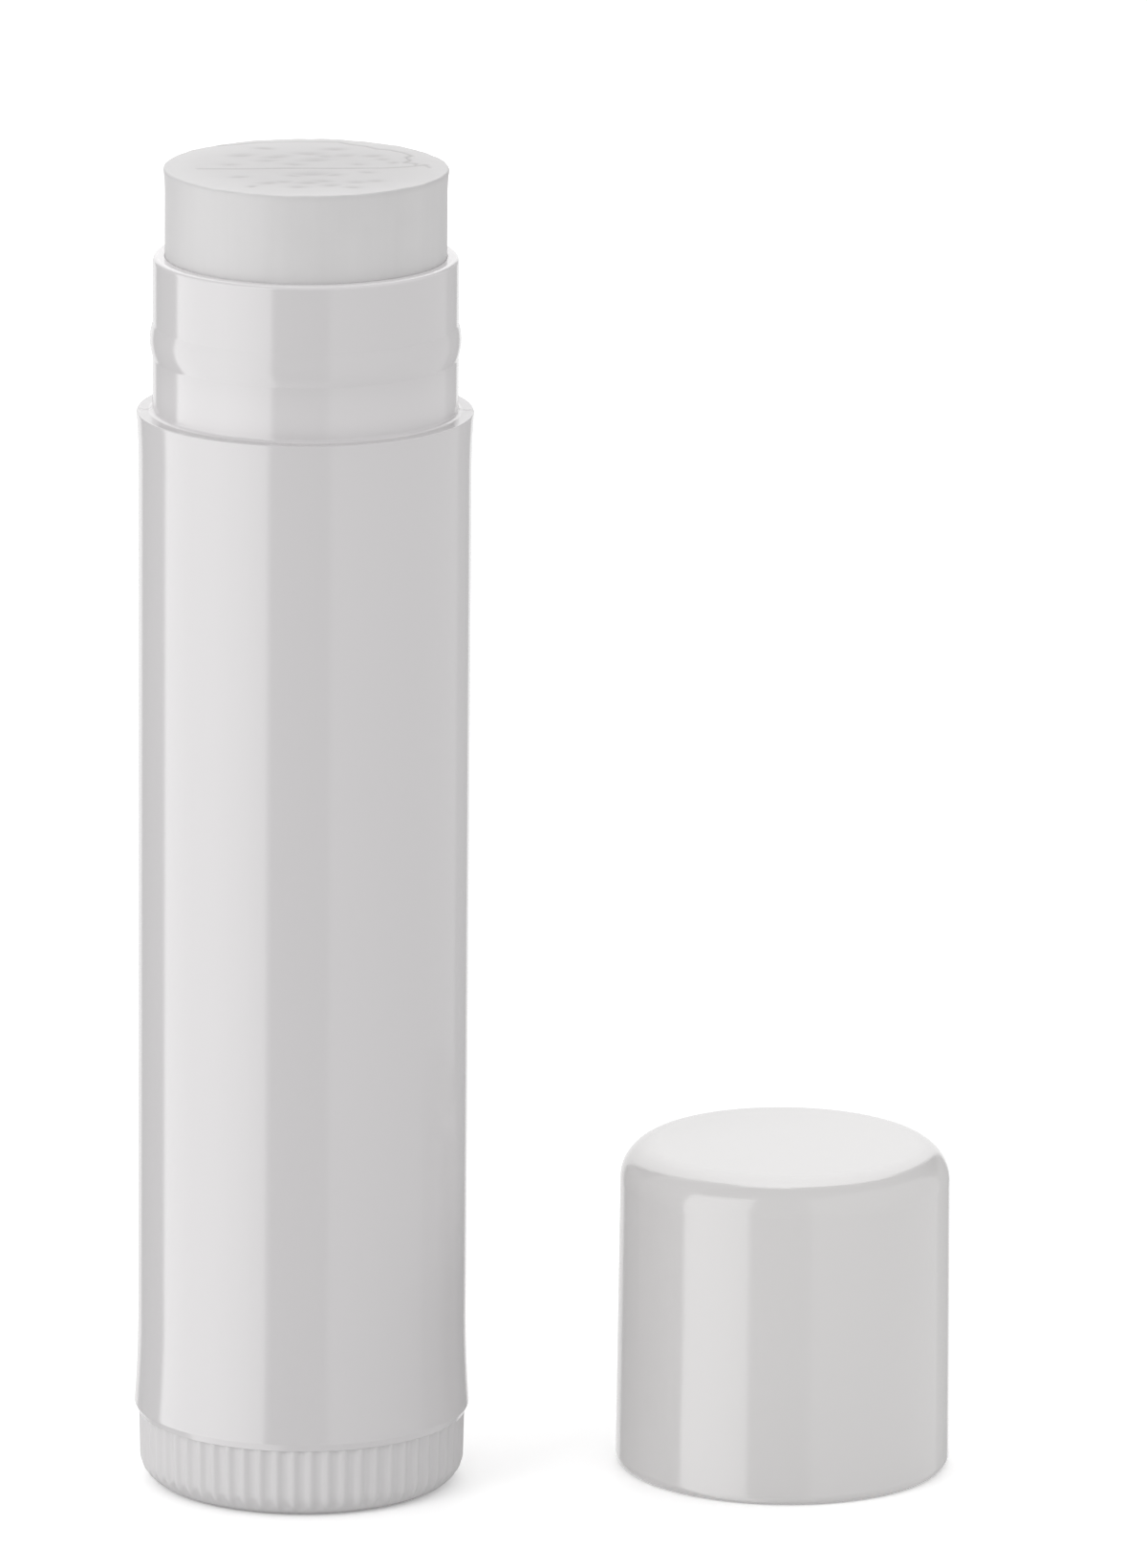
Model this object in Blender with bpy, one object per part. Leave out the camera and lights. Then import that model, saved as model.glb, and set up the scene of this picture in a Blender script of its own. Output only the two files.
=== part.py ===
"""Lip balm stick: a twist-up tube on a ribbed thumb wheel, with its cap standing beside it.

Metres, +Z up. The origin is on the tube's axis, on the surface that the stick stands on.
The balm is turned up a little above the neck, and the cap stands on its open end.
"""

import math

import bmesh
import bpy

# Barrel, outside. The body flares a little to its ledge and to its foot.
BARREL_RADIUS = 0.00800
BODY_LENGTH = 0.04977
LEDGE_FLARE = 0.00011
LEDGE_FLARE_LENGTH = 0.00240
LEDGE_EDGE = 0.00014
FOOT_FLARE = 0.00016
FOOT_FLARE_LENGTH = 0.00420
FOOT_CHAMFER_WIDTH = 0.00024
FOOT_CHAMFER_HEIGHT = 0.00037
NECK_STEP = 0.00066
NECK_LENGTH = 0.00770
NECK_WALL = 0.00048
NECK_RIM_EDGE = 0.00012

# Snap bead round the neck, and the small groove under it, measured up from the ledge
BEAD_CENTRE = 0.00347
BEAD_HEIGHT = 0.00166
BEAD_PROUD = 0.00013
NECK_GROOVE_CENTRE = 0.00243
NECK_GROOVE_HEIGHT = 0.00040
NECK_GROOVE_DEPTH = 0.00007

# Guide ribs inside the barrel, which keep the elevator cup from turning
GUIDE_RIB_WIDTH = 0.00090
GUIDE_RIB_HEIGHT = 0.00045
GUIDE_RIB_TOP_DEPTH = 0.00090
GUIDE_RIB_FOOT_GAP = 0.00060
GUIDE_RIB_BURIED_SHARE = 0.5

# Thumb wheel
WHEEL_STEP = 0.00005
WHEEL_DRAFT = 0.00005
WHEEL_HEIGHT = 0.00343
WHEEL_EDGE_RADIUS = 0.00130
WHEEL_FLOOR = 0.00130
WHEEL_GAP = 0.00015
FLUTE_COUNT = 60
FLUTE_DEPTH = 0.00016
PLUG_LENGTH = 0.00620
PLUG_WALL = 0.00095
PLUG_CLEARANCE = 0.00014
PLUG_TIP_CHAMFER = 0.00035
PLUG_ROOT_SHARE = 0.5
SNAP_CENTRE = 0.00330
SNAP_HEIGHT = 0.00110
SNAP_PROUD = 0.00034
SNAP_CLEARANCE = 0.00012
BOSS_WALL = 0.00110
FLANGE_RECESS = 0.00080

# Spindle, pressed into the wheel by its six-sided peg
LEAD = 0.00400
SPINDLE_CORE_RADIUS = 0.00150
THREAD_HEIGHT = 0.00060
THREAD_CREST_WIDTH = 0.00035
THREAD_FLANK_WIDTH = 0.00035
THREAD_RUNOUT_SHARE = 0.25
SHANK_LENGTH = 0.00080
TIP_CHAMFER = 0.00040
FLANGE_RADIUS = 0.00260
FLANGE_THICKNESS = 0.00070
PEG_RADIUS = 0.00150
PEG_LENGTH = 0.00350
PEG_CLEARANCE = 0.00010
PEG_END_GAP = 0.00030
SPINDLE_GRIP = 0.00400

# Elevator cup
CUP_HEIGHT = 0.00800
CUP_NOTCH_WALL = 0.00044
CUP_FLOOR = 0.00090
CUP_CLEARANCE = 0.00014
CUP_EDGE = 0.00025
HUB_WALL = 0.00085
HUB_DROP = 0.00080
THREAD_CLEARANCE = 0.00022
GUIDE_CLEARANCE = 0.00015
STOP_GAP = 0.00030
TOP_STOP_DEPTH = 0.00400

# Balm
BALM_CLEARANCE = 0.00016
BALM_FLARE = 0.00009
BALM_FLARE_LENGTH = 0.00110
BALM_EDGE = 0.00012
BALM_RECESS = 0.00097
BALM_RAISED = 0.00520
BALM_SEAT_GAP = 0.00010
BALM_BORE_GAP = 0.00025
BALM_BORE_END_GAP = 0.00060

# Cap
CAP_HEIGHT = 0.01620
CAP_LIP_WALL = 0.00061
CAP_SIDE_WALL = 0.00056
CAP_TOP_FILLET = 0.00185
CAP_LIP_FILLET = 0.00050
CAP_TOP_WALL = 0.00095
CAP_NECK_CLEARANCE = 0.00010
CAP_BORE_DRAFT = 0.00008
CAP_MOUTH_CHAMFER = 0.00010
CAP_CORNER_FILLET = 0.00100
CAP_SEAT_GAP = 0.00010
CAP_RING_HEIGHT = 0.00050
CAP_RING_CLEARANCE = 0.00006
CAP_GAP = 0.00726
CAP_SET_BACK = 0.00270

# Meshes
TURN_STEPS = 60
INNER_STEPS = 48
FLUTE_POINTS = 4
FLANGE_SIDES = 24
PEG_SIDES = 6
FILLET_STEPS = 4
BEAD_STEPS = 4
NECK_GROOVE_STEPS = 2
SCREW_ROWS = 11
SCREW_CORE_STEPS = 9
SCREW_CREST_STEPS = 1
NUT_ROWS = 15
NUT_CREST_STEPS = 3
RIDGE_SLOPE_SHARE = 0.8
OVERRUN = 0.00100
MERGE_DISTANCE = 0.000001
SHARP_ANGLE = math.radians(32)

# Colours and roughness of the plastics and the balm
GLOSS_WHITE = (0.62, 0.62, 0.63)
GLOSS_ROUGHNESS = 0.18
SATIN_WHITE = (0.60, 0.60, 0.61)
SATIN_ROUGHNESS = 0.35
BALM_WHITE = (0.66, 0.66, 0.65)
BALM_ROUGHNESS = 0.55

# Heights above the surface that the stick stands on
BARREL_BOTTOM = WHEEL_HEIGHT + WHEEL_GAP
LEDGE = BARREL_BOTTOM + BODY_LENGTH
RIM = LEDGE + NECK_LENGTH
PLUG_TOP = WHEEL_HEIGHT + PLUG_LENGTH
BOSS_TOP = PLUG_TOP - FLANGE_THICKNESS - FLANGE_RECESS
CUP_LOWEST = PLUG_TOP + STOP_GAP
CUP_BOTTOM = CUP_LOWEST + BALM_RAISED
CUP_HIGHEST = RIM - TOP_STOP_DEPTH - CUP_HEIGHT
SPINDLE_TIP = CUP_HIGHEST + SPINDLE_GRIP
BALM_TOP = RIM - BALM_RECESS + BALM_RAISED
GUIDE_RIB_TOP = LEDGE - GUIDE_RIB_TOP_DEPTH
GUIDE_RIB_BOTTOM = PLUG_TOP + GUIDE_RIB_FOOT_GAP

# Radii that follow from what runs in what
LEDGE_RADIUS = BARREL_RADIUS + LEDGE_FLARE
FOOT_RADIUS = BARREL_RADIUS + FOOT_FLARE
NECK_RADIUS = BARREL_RADIUS - NECK_STEP
BORE_RADIUS = NECK_RADIUS - NECK_WALL
BEAD_RADIUS = NECK_RADIUS + BEAD_PROUD
NECK_GROOVE_RADIUS = NECK_RADIUS - NECK_GROOVE_DEPTH
WHEEL_RADIUS = BARREL_RADIUS - WHEEL_STEP
PLUG_RADIUS = BORE_RADIUS - PLUG_CLEARANCE
GUIDE_NOTCH_RADIUS = BORE_RADIUS - GUIDE_RIB_HEIGHT - GUIDE_CLEARANCE
CUP_RADIUS = BORE_RADIUS - CUP_CLEARANCE
CUP_INNER_RADIUS = GUIDE_NOTCH_RADIUS - CUP_NOTCH_WALL
BALM_RADIUS = BORE_RADIUS - BALM_CLEARANCE
CAP_MOUTH_RADIUS = BEAD_RADIUS + CAP_NECK_CLEARANCE
CAP_ROOF_RADIUS = CAP_MOUTH_RADIUS - CAP_BORE_DRAFT
CAP_LIP_RADIUS = CAP_MOUTH_RADIUS + CAP_LIP_WALL
CAP_TOP_RADIUS = CAP_ROOF_RADIUS + CAP_SIDE_WALL
CAP_DISTANCE = FOOT_RADIUS + CAP_GAP + CAP_LIP_RADIUS
THREAD_RADIUS = SPINDLE_CORE_RADIUS + THREAD_HEIGHT
HUB_RADIUS = THREAD_RADIUS + THREAD_CLEARANCE + HUB_WALL
BOSS_RADIUS = PEG_RADIUS + PEG_CLEARANCE + BOSS_WALL
HUB_TOP = CUP_HEIGHT - HUB_DROP

# The screw is left-handed: turned clockwise as seen from below, the wheel raises the balm
SCREW_HAND = -1


def turned(name, outline, steps, closed):
    """A piece turned round Z from an outline of (radius, height), down its outer side."""
    mesh = bpy.data.meshes.new(name)
    points = [(radius, 0, height) for radius, height in outline]
    edges = [(i, i + 1) for i in range(len(points) - 1)]
    if closed:
        edges.append((len(points) - 1, 0))
    mesh.from_pydata(points, edges, [])
    piece = bpy.data.objects.new(name, mesh)
    bpy.context.collection.objects.link(piece)
    turn = piece.modifiers.new("turn", "SCREW")
    turn.axis = "Z"
    turn.steps = steps
    turn.render_steps = steps
    turn.use_merge_vertices = True
    turn.merge_threshold = MERGE_DISTANCE
    turn.use_smooth_shade = True
    return piece


def lofted(name, rings):
    """A solid skinned over rings of points that run anticlockwise, from the lowest ring up."""
    shape = bmesh.new()
    rows = [[shape.verts.new(point) for point in ring] for ring in rings]
    count = len(rows[0])
    shape.faces.new(rows[0][::-1])
    shape.faces.new(rows[-1])
    for low, high in zip(rows, rows[1:]):
        for i in range(count):
            j = (i + 1) % count
            shape.faces.new((low[i], low[j], high[j], high[i]))
    mesh = bpy.data.meshes.new(name)
    shape.to_mesh(mesh)
    shape.free()
    piece = bpy.data.objects.new(name, mesh)
    bpy.context.collection.objects.link(piece)
    return piece


def block(name, low, high):
    """A rectangular block between two corners."""
    rings = [[(low[0], low[1], z), (high[0], low[1], z), (high[0], high[1], z), (low[0], high[1], z)]
             for z in (low[2], high[2])]
    return lofted(name, rings)


def prism(name, radius, sides, bottom, top):
    """An upright prism with its corners on a circle."""
    corners = [2 * math.pi * i / sides for i in range(sides)]
    rings = [[(radius * math.cos(a), radius * math.sin(a), z) for a in corners] for z in (bottom, top)]
    return lofted(name, rings)


def combine(piece, tool, operation):
    """Join or cut a piece with a tool body, which goes when the piece is finished."""
    step = piece.modifiers.new(tool.name, "BOOLEAN")
    step.operation = operation
    step.solver = "EXACT"
    step.object = tool
    tool.hide_render = True
    tool.display_type = "WIRE"


def finished(piece, material, place):
    """Apply the modifiers, remove the tool bodies, shade and colour the piece, and place it."""
    tools = [step.object for step in piece.modifiers if step.type == "BOOLEAN"]
    view = bpy.context.evaluated_depsgraph_get()
    view.update()
    mesh = bpy.data.meshes.new_from_object(piece.evaluated_get(view))
    piece.modifiers.clear()
    piece.data = mesh
    mesh.name = piece.name
    for tool in tools:
        bpy.data.objects.remove(tool)
    mesh.shade_smooth()
    mesh.set_sharp_from_angle(angle=SHARP_ANGLE)
    mesh.materials.clear()
    mesh.materials.append(material)
    piece.location = place
    return piece


def plastic(name, colour, roughness):
    """A plain Principled material."""
    material = bpy.data.materials.new(name)
    material.use_nodes = True
    shader = material.node_tree.nodes["Principled BSDF"]
    shader.inputs["Base Color"].default_value = (*colour, 1)
    shader.inputs["Roughness"].default_value = roughness
    shader.inputs["Metallic"].default_value = 0
    return material


def quarter_arc(centre_radius, centre_height, radius, first_angle):
    """Points of a quarter circle that runs clockwise from first_angle, in degrees from +X."""
    points = []
    for step in range(FILLET_STEPS + 1):
        angle = math.radians(first_angle - 90 * step / FILLET_STEPS)
        points.append((centre_radius + radius * math.cos(angle), centre_height + radius * math.sin(angle)))
    return points


def bump(base_radius, centre, height, proud, steps):
    """A round bead on a straight side, or a groove where proud is negative, from its top down."""
    depth = abs(proud)
    half = height / 2
    arc_radius = (half * half + depth * depth) / (2 * depth)
    points = []
    for step in range(steps + 1):
        offset = half - height * step / steps
        rise = depth - arc_radius + math.sqrt(arc_radius * arc_radius - offset * offset)
        points.append((base_radius + math.copysign(rise, proud), centre + offset))
    return points


def ridge(base_radius, centre, height, proud):
    """A snap ridge with sloped sides and a flat crest, from its top down."""
    half = height / 2
    slope = min(abs(proud), half * RIDGE_SLOPE_SHARE)
    return [
        (base_radius, centre + half),
        (base_radius + proud, centre + half - slope),
        (base_radius + proud, centre - half + slope),
        (base_radius, centre - half),
    ]


def screw_section(clearance, crest_steps):
    """The cut across a screw as (angle, radius), widened all round by a clearance."""
    crest_half = math.pi * (THREAD_CREST_WIDTH + clearance) / LEAD
    foot_half = crest_half + 2 * math.pi * THREAD_FLANK_WIDTH / LEAD
    core = SPINDLE_CORE_RADIUS + clearance
    crest = THREAD_RADIUS + clearance
    section = [(crest_half * (2 * i / crest_steps - 1), crest) for i in range(crest_steps + 1)]
    core_sweep = 2 * math.pi - 2 * foot_half
    steps = SCREW_CORE_STEPS
    section += [(foot_half + core_sweep * i / steps, core) for i in range(steps + 1)]
    return section


def screw_rings(section, bottom, top, rows_per_turn, datum, height_at):
    """Rings of a screw from bottom to top. datum is the local origin's height above the ground."""
    count = math.ceil((top - bottom) / LEAD * rows_per_turn)
    rings = []
    for row in range(count + 1):
        z = bottom + (top - bottom) * row / count
        turn = SCREW_HAND * 2 * math.pi * (z + datum) / LEAD
        core = SPINDLE_CORE_RADIUS
        ring = []
        for angle, radius in section:
            reach = radius if radius <= core else core + (radius - core) * height_at(z)
            ring.append((reach * math.cos(angle + turn), reach * math.sin(angle + turn), z))
        rings.append(ring)
    return rings


def guide_blocks(name, inner_radius, outer_radius, half_width, bottom, top):
    """Two upright blocks, at +X and -X: the guide ribs, or the tools that cut their grooves."""
    blocks = []
    for side in (1, -1):
        reach = sorted((side * inner_radius, side * outer_radius))
        low = (reach[0], -half_width, bottom)
        high = (reach[1], half_width, top)
        blocks.append(block(f"{name}_{len(blocks)}", low, high))
    return blocks


def cut_guide_grooves(piece, bottom, top):
    """Cut the grooves in which a piece slides on the guide ribs."""
    half_width = GUIDE_RIB_WIDTH / 2 + GUIDE_CLEARANCE
    reach = BORE_RADIUS + OVERRUN
    for tool in guide_blocks("groove", GUIDE_NOTCH_RADIUS, reach, half_width, bottom, top):
        combine(piece, tool, "DIFFERENCE")


def make_barrel(material):
    """The tube: body, ledge, neck with its snap bead, bore with guide ribs and the wheel's socket."""
    ledge = LEDGE - BARREL_BOTTOM
    rim = RIM - BARREL_BOTTOM
    bead = ledge + BEAD_CENTRE
    groove = ledge + NECK_GROOVE_CENTRE
    snap = WHEEL_HEIGHT + SNAP_CENTRE - BARREL_BOTTOM
    outline = [
        (NECK_RADIUS - NECK_RIM_EDGE, rim),
        (NECK_RADIUS, rim - NECK_RIM_EDGE),
        *bump(NECK_RADIUS, bead, BEAD_HEIGHT, BEAD_PROUD, BEAD_STEPS),
        *bump(NECK_RADIUS, groove, NECK_GROOVE_HEIGHT, -NECK_GROOVE_DEPTH, NECK_GROOVE_STEPS),
        (NECK_RADIUS, ledge),
        (LEDGE_RADIUS - LEDGE_EDGE, ledge),
        (LEDGE_RADIUS, ledge - LEDGE_EDGE),
        (BARREL_RADIUS, ledge - LEDGE_FLARE_LENGTH),
        (BARREL_RADIUS, FOOT_FLARE_LENGTH),
        (FOOT_RADIUS, FOOT_CHAMFER_HEIGHT),
        (FOOT_RADIUS - FOOT_CHAMFER_WIDTH, 0),
        (BORE_RADIUS, 0),
        *ridge(BORE_RADIUS, snap, SNAP_HEIGHT + 2 * SNAP_CLEARANCE, SNAP_PROUD)[::-1],
        (BORE_RADIUS, rim),
    ]
    barrel = turned("barrel", outline, TURN_STEPS, closed=True)
    rib_inside = BORE_RADIUS - GUIDE_RIB_HEIGHT
    rib_root = BORE_RADIUS + NECK_WALL * GUIDE_RIB_BURIED_SHARE
    rib_bottom = GUIDE_RIB_BOTTOM - BARREL_BOTTOM
    rib_top = GUIDE_RIB_TOP - BARREL_BOTTOM
    for rib in guide_blocks("guide_rib", rib_inside, rib_root, GUIDE_RIB_WIDTH / 2, rib_bottom, rib_top):
        combine(barrel, rib, "UNION")
    return finished(barrel, material, (0, 0, BARREL_BOTTOM))


def wheel_radius_at(height):
    """The wheel's side over its height: a slight draft, and the round edge at the floor."""
    side = WHEEL_RADIUS - WHEEL_DRAFT * (1 - height / WHEEL_HEIGHT)
    drop = max(0, WHEEL_EDGE_RADIUS - height)
    return side - WHEEL_EDGE_RADIUS + math.sqrt(WHEEL_EDGE_RADIUS ** 2 - drop ** 2)


def make_thumb_wheel(material):
    """The ribbed wheel: a fluted disc, and a hollow plug with a snap ridge and the spindle's boss."""
    turns = [math.pi / 2 * step / FILLET_STEPS for step in range(FILLET_STEPS + 1)]
    heights = [WHEEL_EDGE_RADIUS * (1 - math.cos(turn)) for turn in turns]
    heights.append(WHEEL_HEIGHT)
    columns = FLUTE_COUNT * FLUTE_POINTS
    rings = []
    for height in heights:
        ring = []
        for column in range(columns):
            angle = 2 * math.pi * column / columns
            wave = math.cos(2 * math.pi * (column + 0.5) / FLUTE_POINTS)
            fluted = WHEEL_RADIUS - FLUTE_DEPTH * (1 + wave) / 2
            reach = min(fluted, wheel_radius_at(height))
            ring.append((reach * math.cos(angle), reach * math.sin(angle), height))
        rings.append(ring)
    wheel = lofted("thumb_wheel", rings)

    plug_outline = [
        (0, PLUG_TOP),
        (PLUG_RADIUS - PLUG_TIP_CHAMFER, PLUG_TOP),
        (PLUG_RADIUS, PLUG_TOP - PLUG_TIP_CHAMFER),
        *ridge(PLUG_RADIUS, WHEEL_HEIGHT + SNAP_CENTRE, SNAP_HEIGHT, SNAP_PROUD),
        (PLUG_RADIUS, WHEEL_HEIGHT * PLUG_ROOT_SHARE),
        (0, WHEEL_HEIGHT * PLUG_ROOT_SHARE),
    ]
    combine(wheel, turned("plug", plug_outline, INNER_STEPS, closed=False), "UNION")

    core_outline = [
        (0, PLUG_TOP + OVERRUN),
        (PLUG_RADIUS - PLUG_WALL, PLUG_TOP + OVERRUN),
        (PLUG_RADIUS - PLUG_WALL, WHEEL_FLOOR),
        (BOSS_RADIUS, WHEEL_FLOOR),
        (BOSS_RADIUS, BOSS_TOP),
        (0, BOSS_TOP),
    ]
    combine(wheel, turned("plug_core", core_outline, INNER_STEPS, closed=False), "DIFFERENCE")
    socket_bottom = BOSS_TOP - PEG_LENGTH - PEG_END_GAP
    socket_radius = PEG_RADIUS + PEG_CLEARANCE
    socket = prism("peg_socket", socket_radius, PEG_SIDES, socket_bottom, BOSS_TOP + OVERRUN)
    combine(wheel, socket, "DIFFERENCE")
    return finished(wheel, material, (0, 0, 0))


def make_spindle(material):
    """The long screw, with a flange that rests on the wheel's boss and a six-sided peg below it."""
    datum = BOSS_TOP + PEG_CLEARANCE
    tip = SPINDLE_TIP - datum
    thread_bottom = FLANGE_THICKNESS + SHANK_LENGTH
    thread_top = tip - TIP_CHAMFER
    runout = LEAD * THREAD_RUNOUT_SHARE

    def height_at(z):
        """How much of the thread's height stands at z: it runs out at both ends."""
        return max(0, min(1, (z - thread_bottom) / runout, (thread_top - z) / runout))

    section = screw_section(0, SCREW_CREST_STEPS)
    rings = screw_rings(section, thread_bottom, thread_top, SCREW_ROWS, datum, height_at)
    rings.insert(0, [(x, y, FLANGE_THICKNESS / 2) for x, y, z in rings[0]])
    tip_share = 1 - TIP_CHAMFER / SPINDLE_CORE_RADIUS
    rings.append([(x * tip_share, y * tip_share, tip) for x, y, z in rings[-1]])
    spindle = lofted("spindle", rings)
    combine(spindle, prism("flange", FLANGE_RADIUS, FLANGE_SIDES, 0, FLANGE_THICKNESS), "UNION")
    combine(spindle, prism("peg", PEG_RADIUS, PEG_SIDES, -PEG_LENGTH, FLANGE_THICKNESS / 2), "UNION")
    return finished(spindle, material, (0, 0, datum))


def make_elevator_cup(material):
    """The carrier: a cup for the balm's foot, a threaded hub, and notches for the guide ribs."""
    outline = [
        (0, HUB_TOP),
        (HUB_RADIUS, HUB_TOP),
        (HUB_RADIUS, CUP_FLOOR),
        (CUP_INNER_RADIUS, CUP_FLOOR),
        (CUP_INNER_RADIUS, CUP_HEIGHT),
        (CUP_RADIUS, CUP_HEIGHT),
        (CUP_RADIUS, CUP_EDGE),
        (CUP_RADIUS - CUP_EDGE, 0),
        (0, 0),
    ]
    cup = turned("elevator_cup", outline, INNER_STEPS, closed=False)
    section = screw_section(THREAD_CLEARANCE, NUT_CREST_STEPS)
    rings = screw_rings(section, -OVERRUN, HUB_TOP + OVERRUN, NUT_ROWS, CUP_BOTTOM, lambda z: 1)
    combine(cup, lofted("tap", rings), "DIFFERENCE")
    cut_guide_grooves(cup, -OVERRUN, CUP_HEIGHT + OVERRUN)
    return finished(cup, material, (0, 0, CUP_BOTTOM))


def make_balm(material):
    """The balm, cast round the hub, the spindle and the guide ribs, with a slightly flared top."""
    datum = CUP_BOTTOM + CUP_FLOOR + BALM_SEAT_GAP
    top = BALM_TOP - datum
    shoulder = CUP_BOTTOM + CUP_HEIGHT + BALM_SEAT_GAP - datum
    foot_radius = CUP_INNER_RADIUS - BALM_SEAT_GAP
    hub_hole_radius = HUB_RADIUS + BALM_SEAT_GAP
    hub_hole_top = CUP_BOTTOM + HUB_TOP + BALM_SEAT_GAP - datum
    bore_radius = THREAD_RADIUS + BALM_BORE_GAP
    bore_top = SPINDLE_TIP + BALM_RAISED + BALM_BORE_END_GAP - datum
    flare_radius = BALM_RADIUS + BALM_FLARE
    outline = [
        (0, top),
        (flare_radius - BALM_EDGE, top),
        (flare_radius, top - BALM_EDGE),
        (BALM_RADIUS, top - BALM_FLARE_LENGTH),
        (BALM_RADIUS, shoulder),
        (foot_radius, shoulder),
        (foot_radius, 0),
        (hub_hole_radius, 0),
        (hub_hole_radius, hub_hole_top),
        (bore_radius, hub_hole_top),
        (bore_radius, bore_top),
        (0, bore_top),
    ]
    balm = turned("balm", outline, TURN_STEPS, closed=False)
    groove_top = GUIDE_RIB_TOP + BALM_RAISED + GUIDE_CLEARANCE - datum
    cut_guide_grooves(balm, shoulder - OVERRUN, groove_top)
    return finished(balm, material, (0, 0, datum))


def make_cap(material):
    """The cap: rounded top edge, straight flaring side, and an inner ring that snaps under the bead."""
    ceiling = CAP_HEIGHT - CAP_TOP_WALL
    ring_radius = NECK_GROOVE_RADIUS + CAP_RING_CLEARANCE
    ring_centre = NECK_GROOVE_CENTRE - CAP_SEAT_GAP
    ring_depth = CAP_MOUTH_RADIUS - ring_radius
    corner_radius = CAP_ROOF_RADIUS - CAP_CORNER_FILLET
    corner_height = ceiling - CAP_CORNER_FILLET
    outline = [
        (0, CAP_HEIGHT),
        *quarter_arc(CAP_TOP_RADIUS - CAP_TOP_FILLET, CAP_HEIGHT - CAP_TOP_FILLET, CAP_TOP_FILLET, 90),
        *quarter_arc(CAP_LIP_RADIUS - CAP_LIP_FILLET, CAP_LIP_FILLET, CAP_LIP_FILLET, 0),
        (CAP_MOUTH_RADIUS + CAP_MOUTH_CHAMFER, 0),
        (CAP_MOUTH_RADIUS, CAP_MOUTH_CHAMFER),
        *ridge(CAP_MOUTH_RADIUS, ring_centre, CAP_RING_HEIGHT, -ring_depth)[::-1],
        *quarter_arc(corner_radius, corner_height, CAP_CORNER_FILLET, 90)[::-1],
        (0, ceiling),
    ]
    cap = turned("cap", outline, TURN_STEPS, closed=False)
    return finished(cap, material, (CAP_DISTANCE, CAP_SET_BACK, 0))


def carry(carrier, piece):
    """Parent a piece to the one that carries it, with the piece left where it is."""
    place = piece.location - carrier.location
    piece.parent = carrier
    piece.location = place


def main():
    """Clear the scene and build the lip balm stick."""
    for item in list(bpy.data.objects):
        bpy.data.objects.remove(item)

    gloss_white = plastic("gloss_white_plastic", GLOSS_WHITE, GLOSS_ROUGHNESS)
    satin_white = plastic("satin_white_plastic", SATIN_WHITE, SATIN_ROUGHNESS)
    wax = plastic("white_balm", BALM_WHITE, BALM_ROUGHNESS)

    make_barrel(gloss_white)
    make_cap(gloss_white)
    wheel = make_thumb_wheel(satin_white)
    carry(wheel, make_spindle(satin_white))
    cup = make_elevator_cup(satin_white)
    carry(cup, make_balm(wax))


if __name__ == "__main__":
    main()
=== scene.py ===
"""Lip balm stick: its looks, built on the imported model.

Metres, +Z up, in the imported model's own frame. The origin is on the tube's axis, on the surface
that the stick stands on, and the cap stands on its open end beside the tube, towards +X.
"""

import functools
import math

import bmesh
import bpy
import numpy as np
from bpy.props import FloatProperty, FloatVectorProperty, IntProperty, PointerProperty
from mathutils import Matrix, Vector


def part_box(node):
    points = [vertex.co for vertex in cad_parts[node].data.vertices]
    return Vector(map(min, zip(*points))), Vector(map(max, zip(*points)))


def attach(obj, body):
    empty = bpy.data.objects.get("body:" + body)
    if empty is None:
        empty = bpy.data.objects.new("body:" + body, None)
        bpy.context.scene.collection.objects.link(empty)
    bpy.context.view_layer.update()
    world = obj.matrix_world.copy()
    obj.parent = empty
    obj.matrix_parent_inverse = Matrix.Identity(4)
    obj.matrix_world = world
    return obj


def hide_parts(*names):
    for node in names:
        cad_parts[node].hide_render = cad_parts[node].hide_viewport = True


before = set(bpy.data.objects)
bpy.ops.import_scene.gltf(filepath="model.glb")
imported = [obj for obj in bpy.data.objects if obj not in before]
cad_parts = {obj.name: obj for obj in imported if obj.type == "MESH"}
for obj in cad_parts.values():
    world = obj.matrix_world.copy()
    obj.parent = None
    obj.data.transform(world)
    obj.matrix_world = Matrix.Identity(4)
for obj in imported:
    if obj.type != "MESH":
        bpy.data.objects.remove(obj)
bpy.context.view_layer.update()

bl_info = {
    "name": "Lip Balm Stick",
    "version": (1, 0, 0),
    "blender": (4, 5, 0),
    "location": "3D View > Sidebar > Lip Balm",
    "description": "Builds a twist-up lip balm stick and its cap on their packed model",
    "category": "Add Mesh",
}

MILLIMETRE = 0.001
FULL_TURN = 2 * math.pi

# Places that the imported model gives
BARREL_LOW, BARREL_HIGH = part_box("barrel")
WHEEL_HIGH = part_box("thumb_wheel")[1]
SPINDLE_LOW, SPINDLE_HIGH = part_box("spindle")
CUP_LOW, CUP_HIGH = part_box("elevator_cup")
BALM_LOW, BALM_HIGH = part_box("balm")
CAP_LOW, CAP_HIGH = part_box("cap")
CAP_CENTRE = (CAP_LOW + CAP_HIGH) / 2

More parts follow.
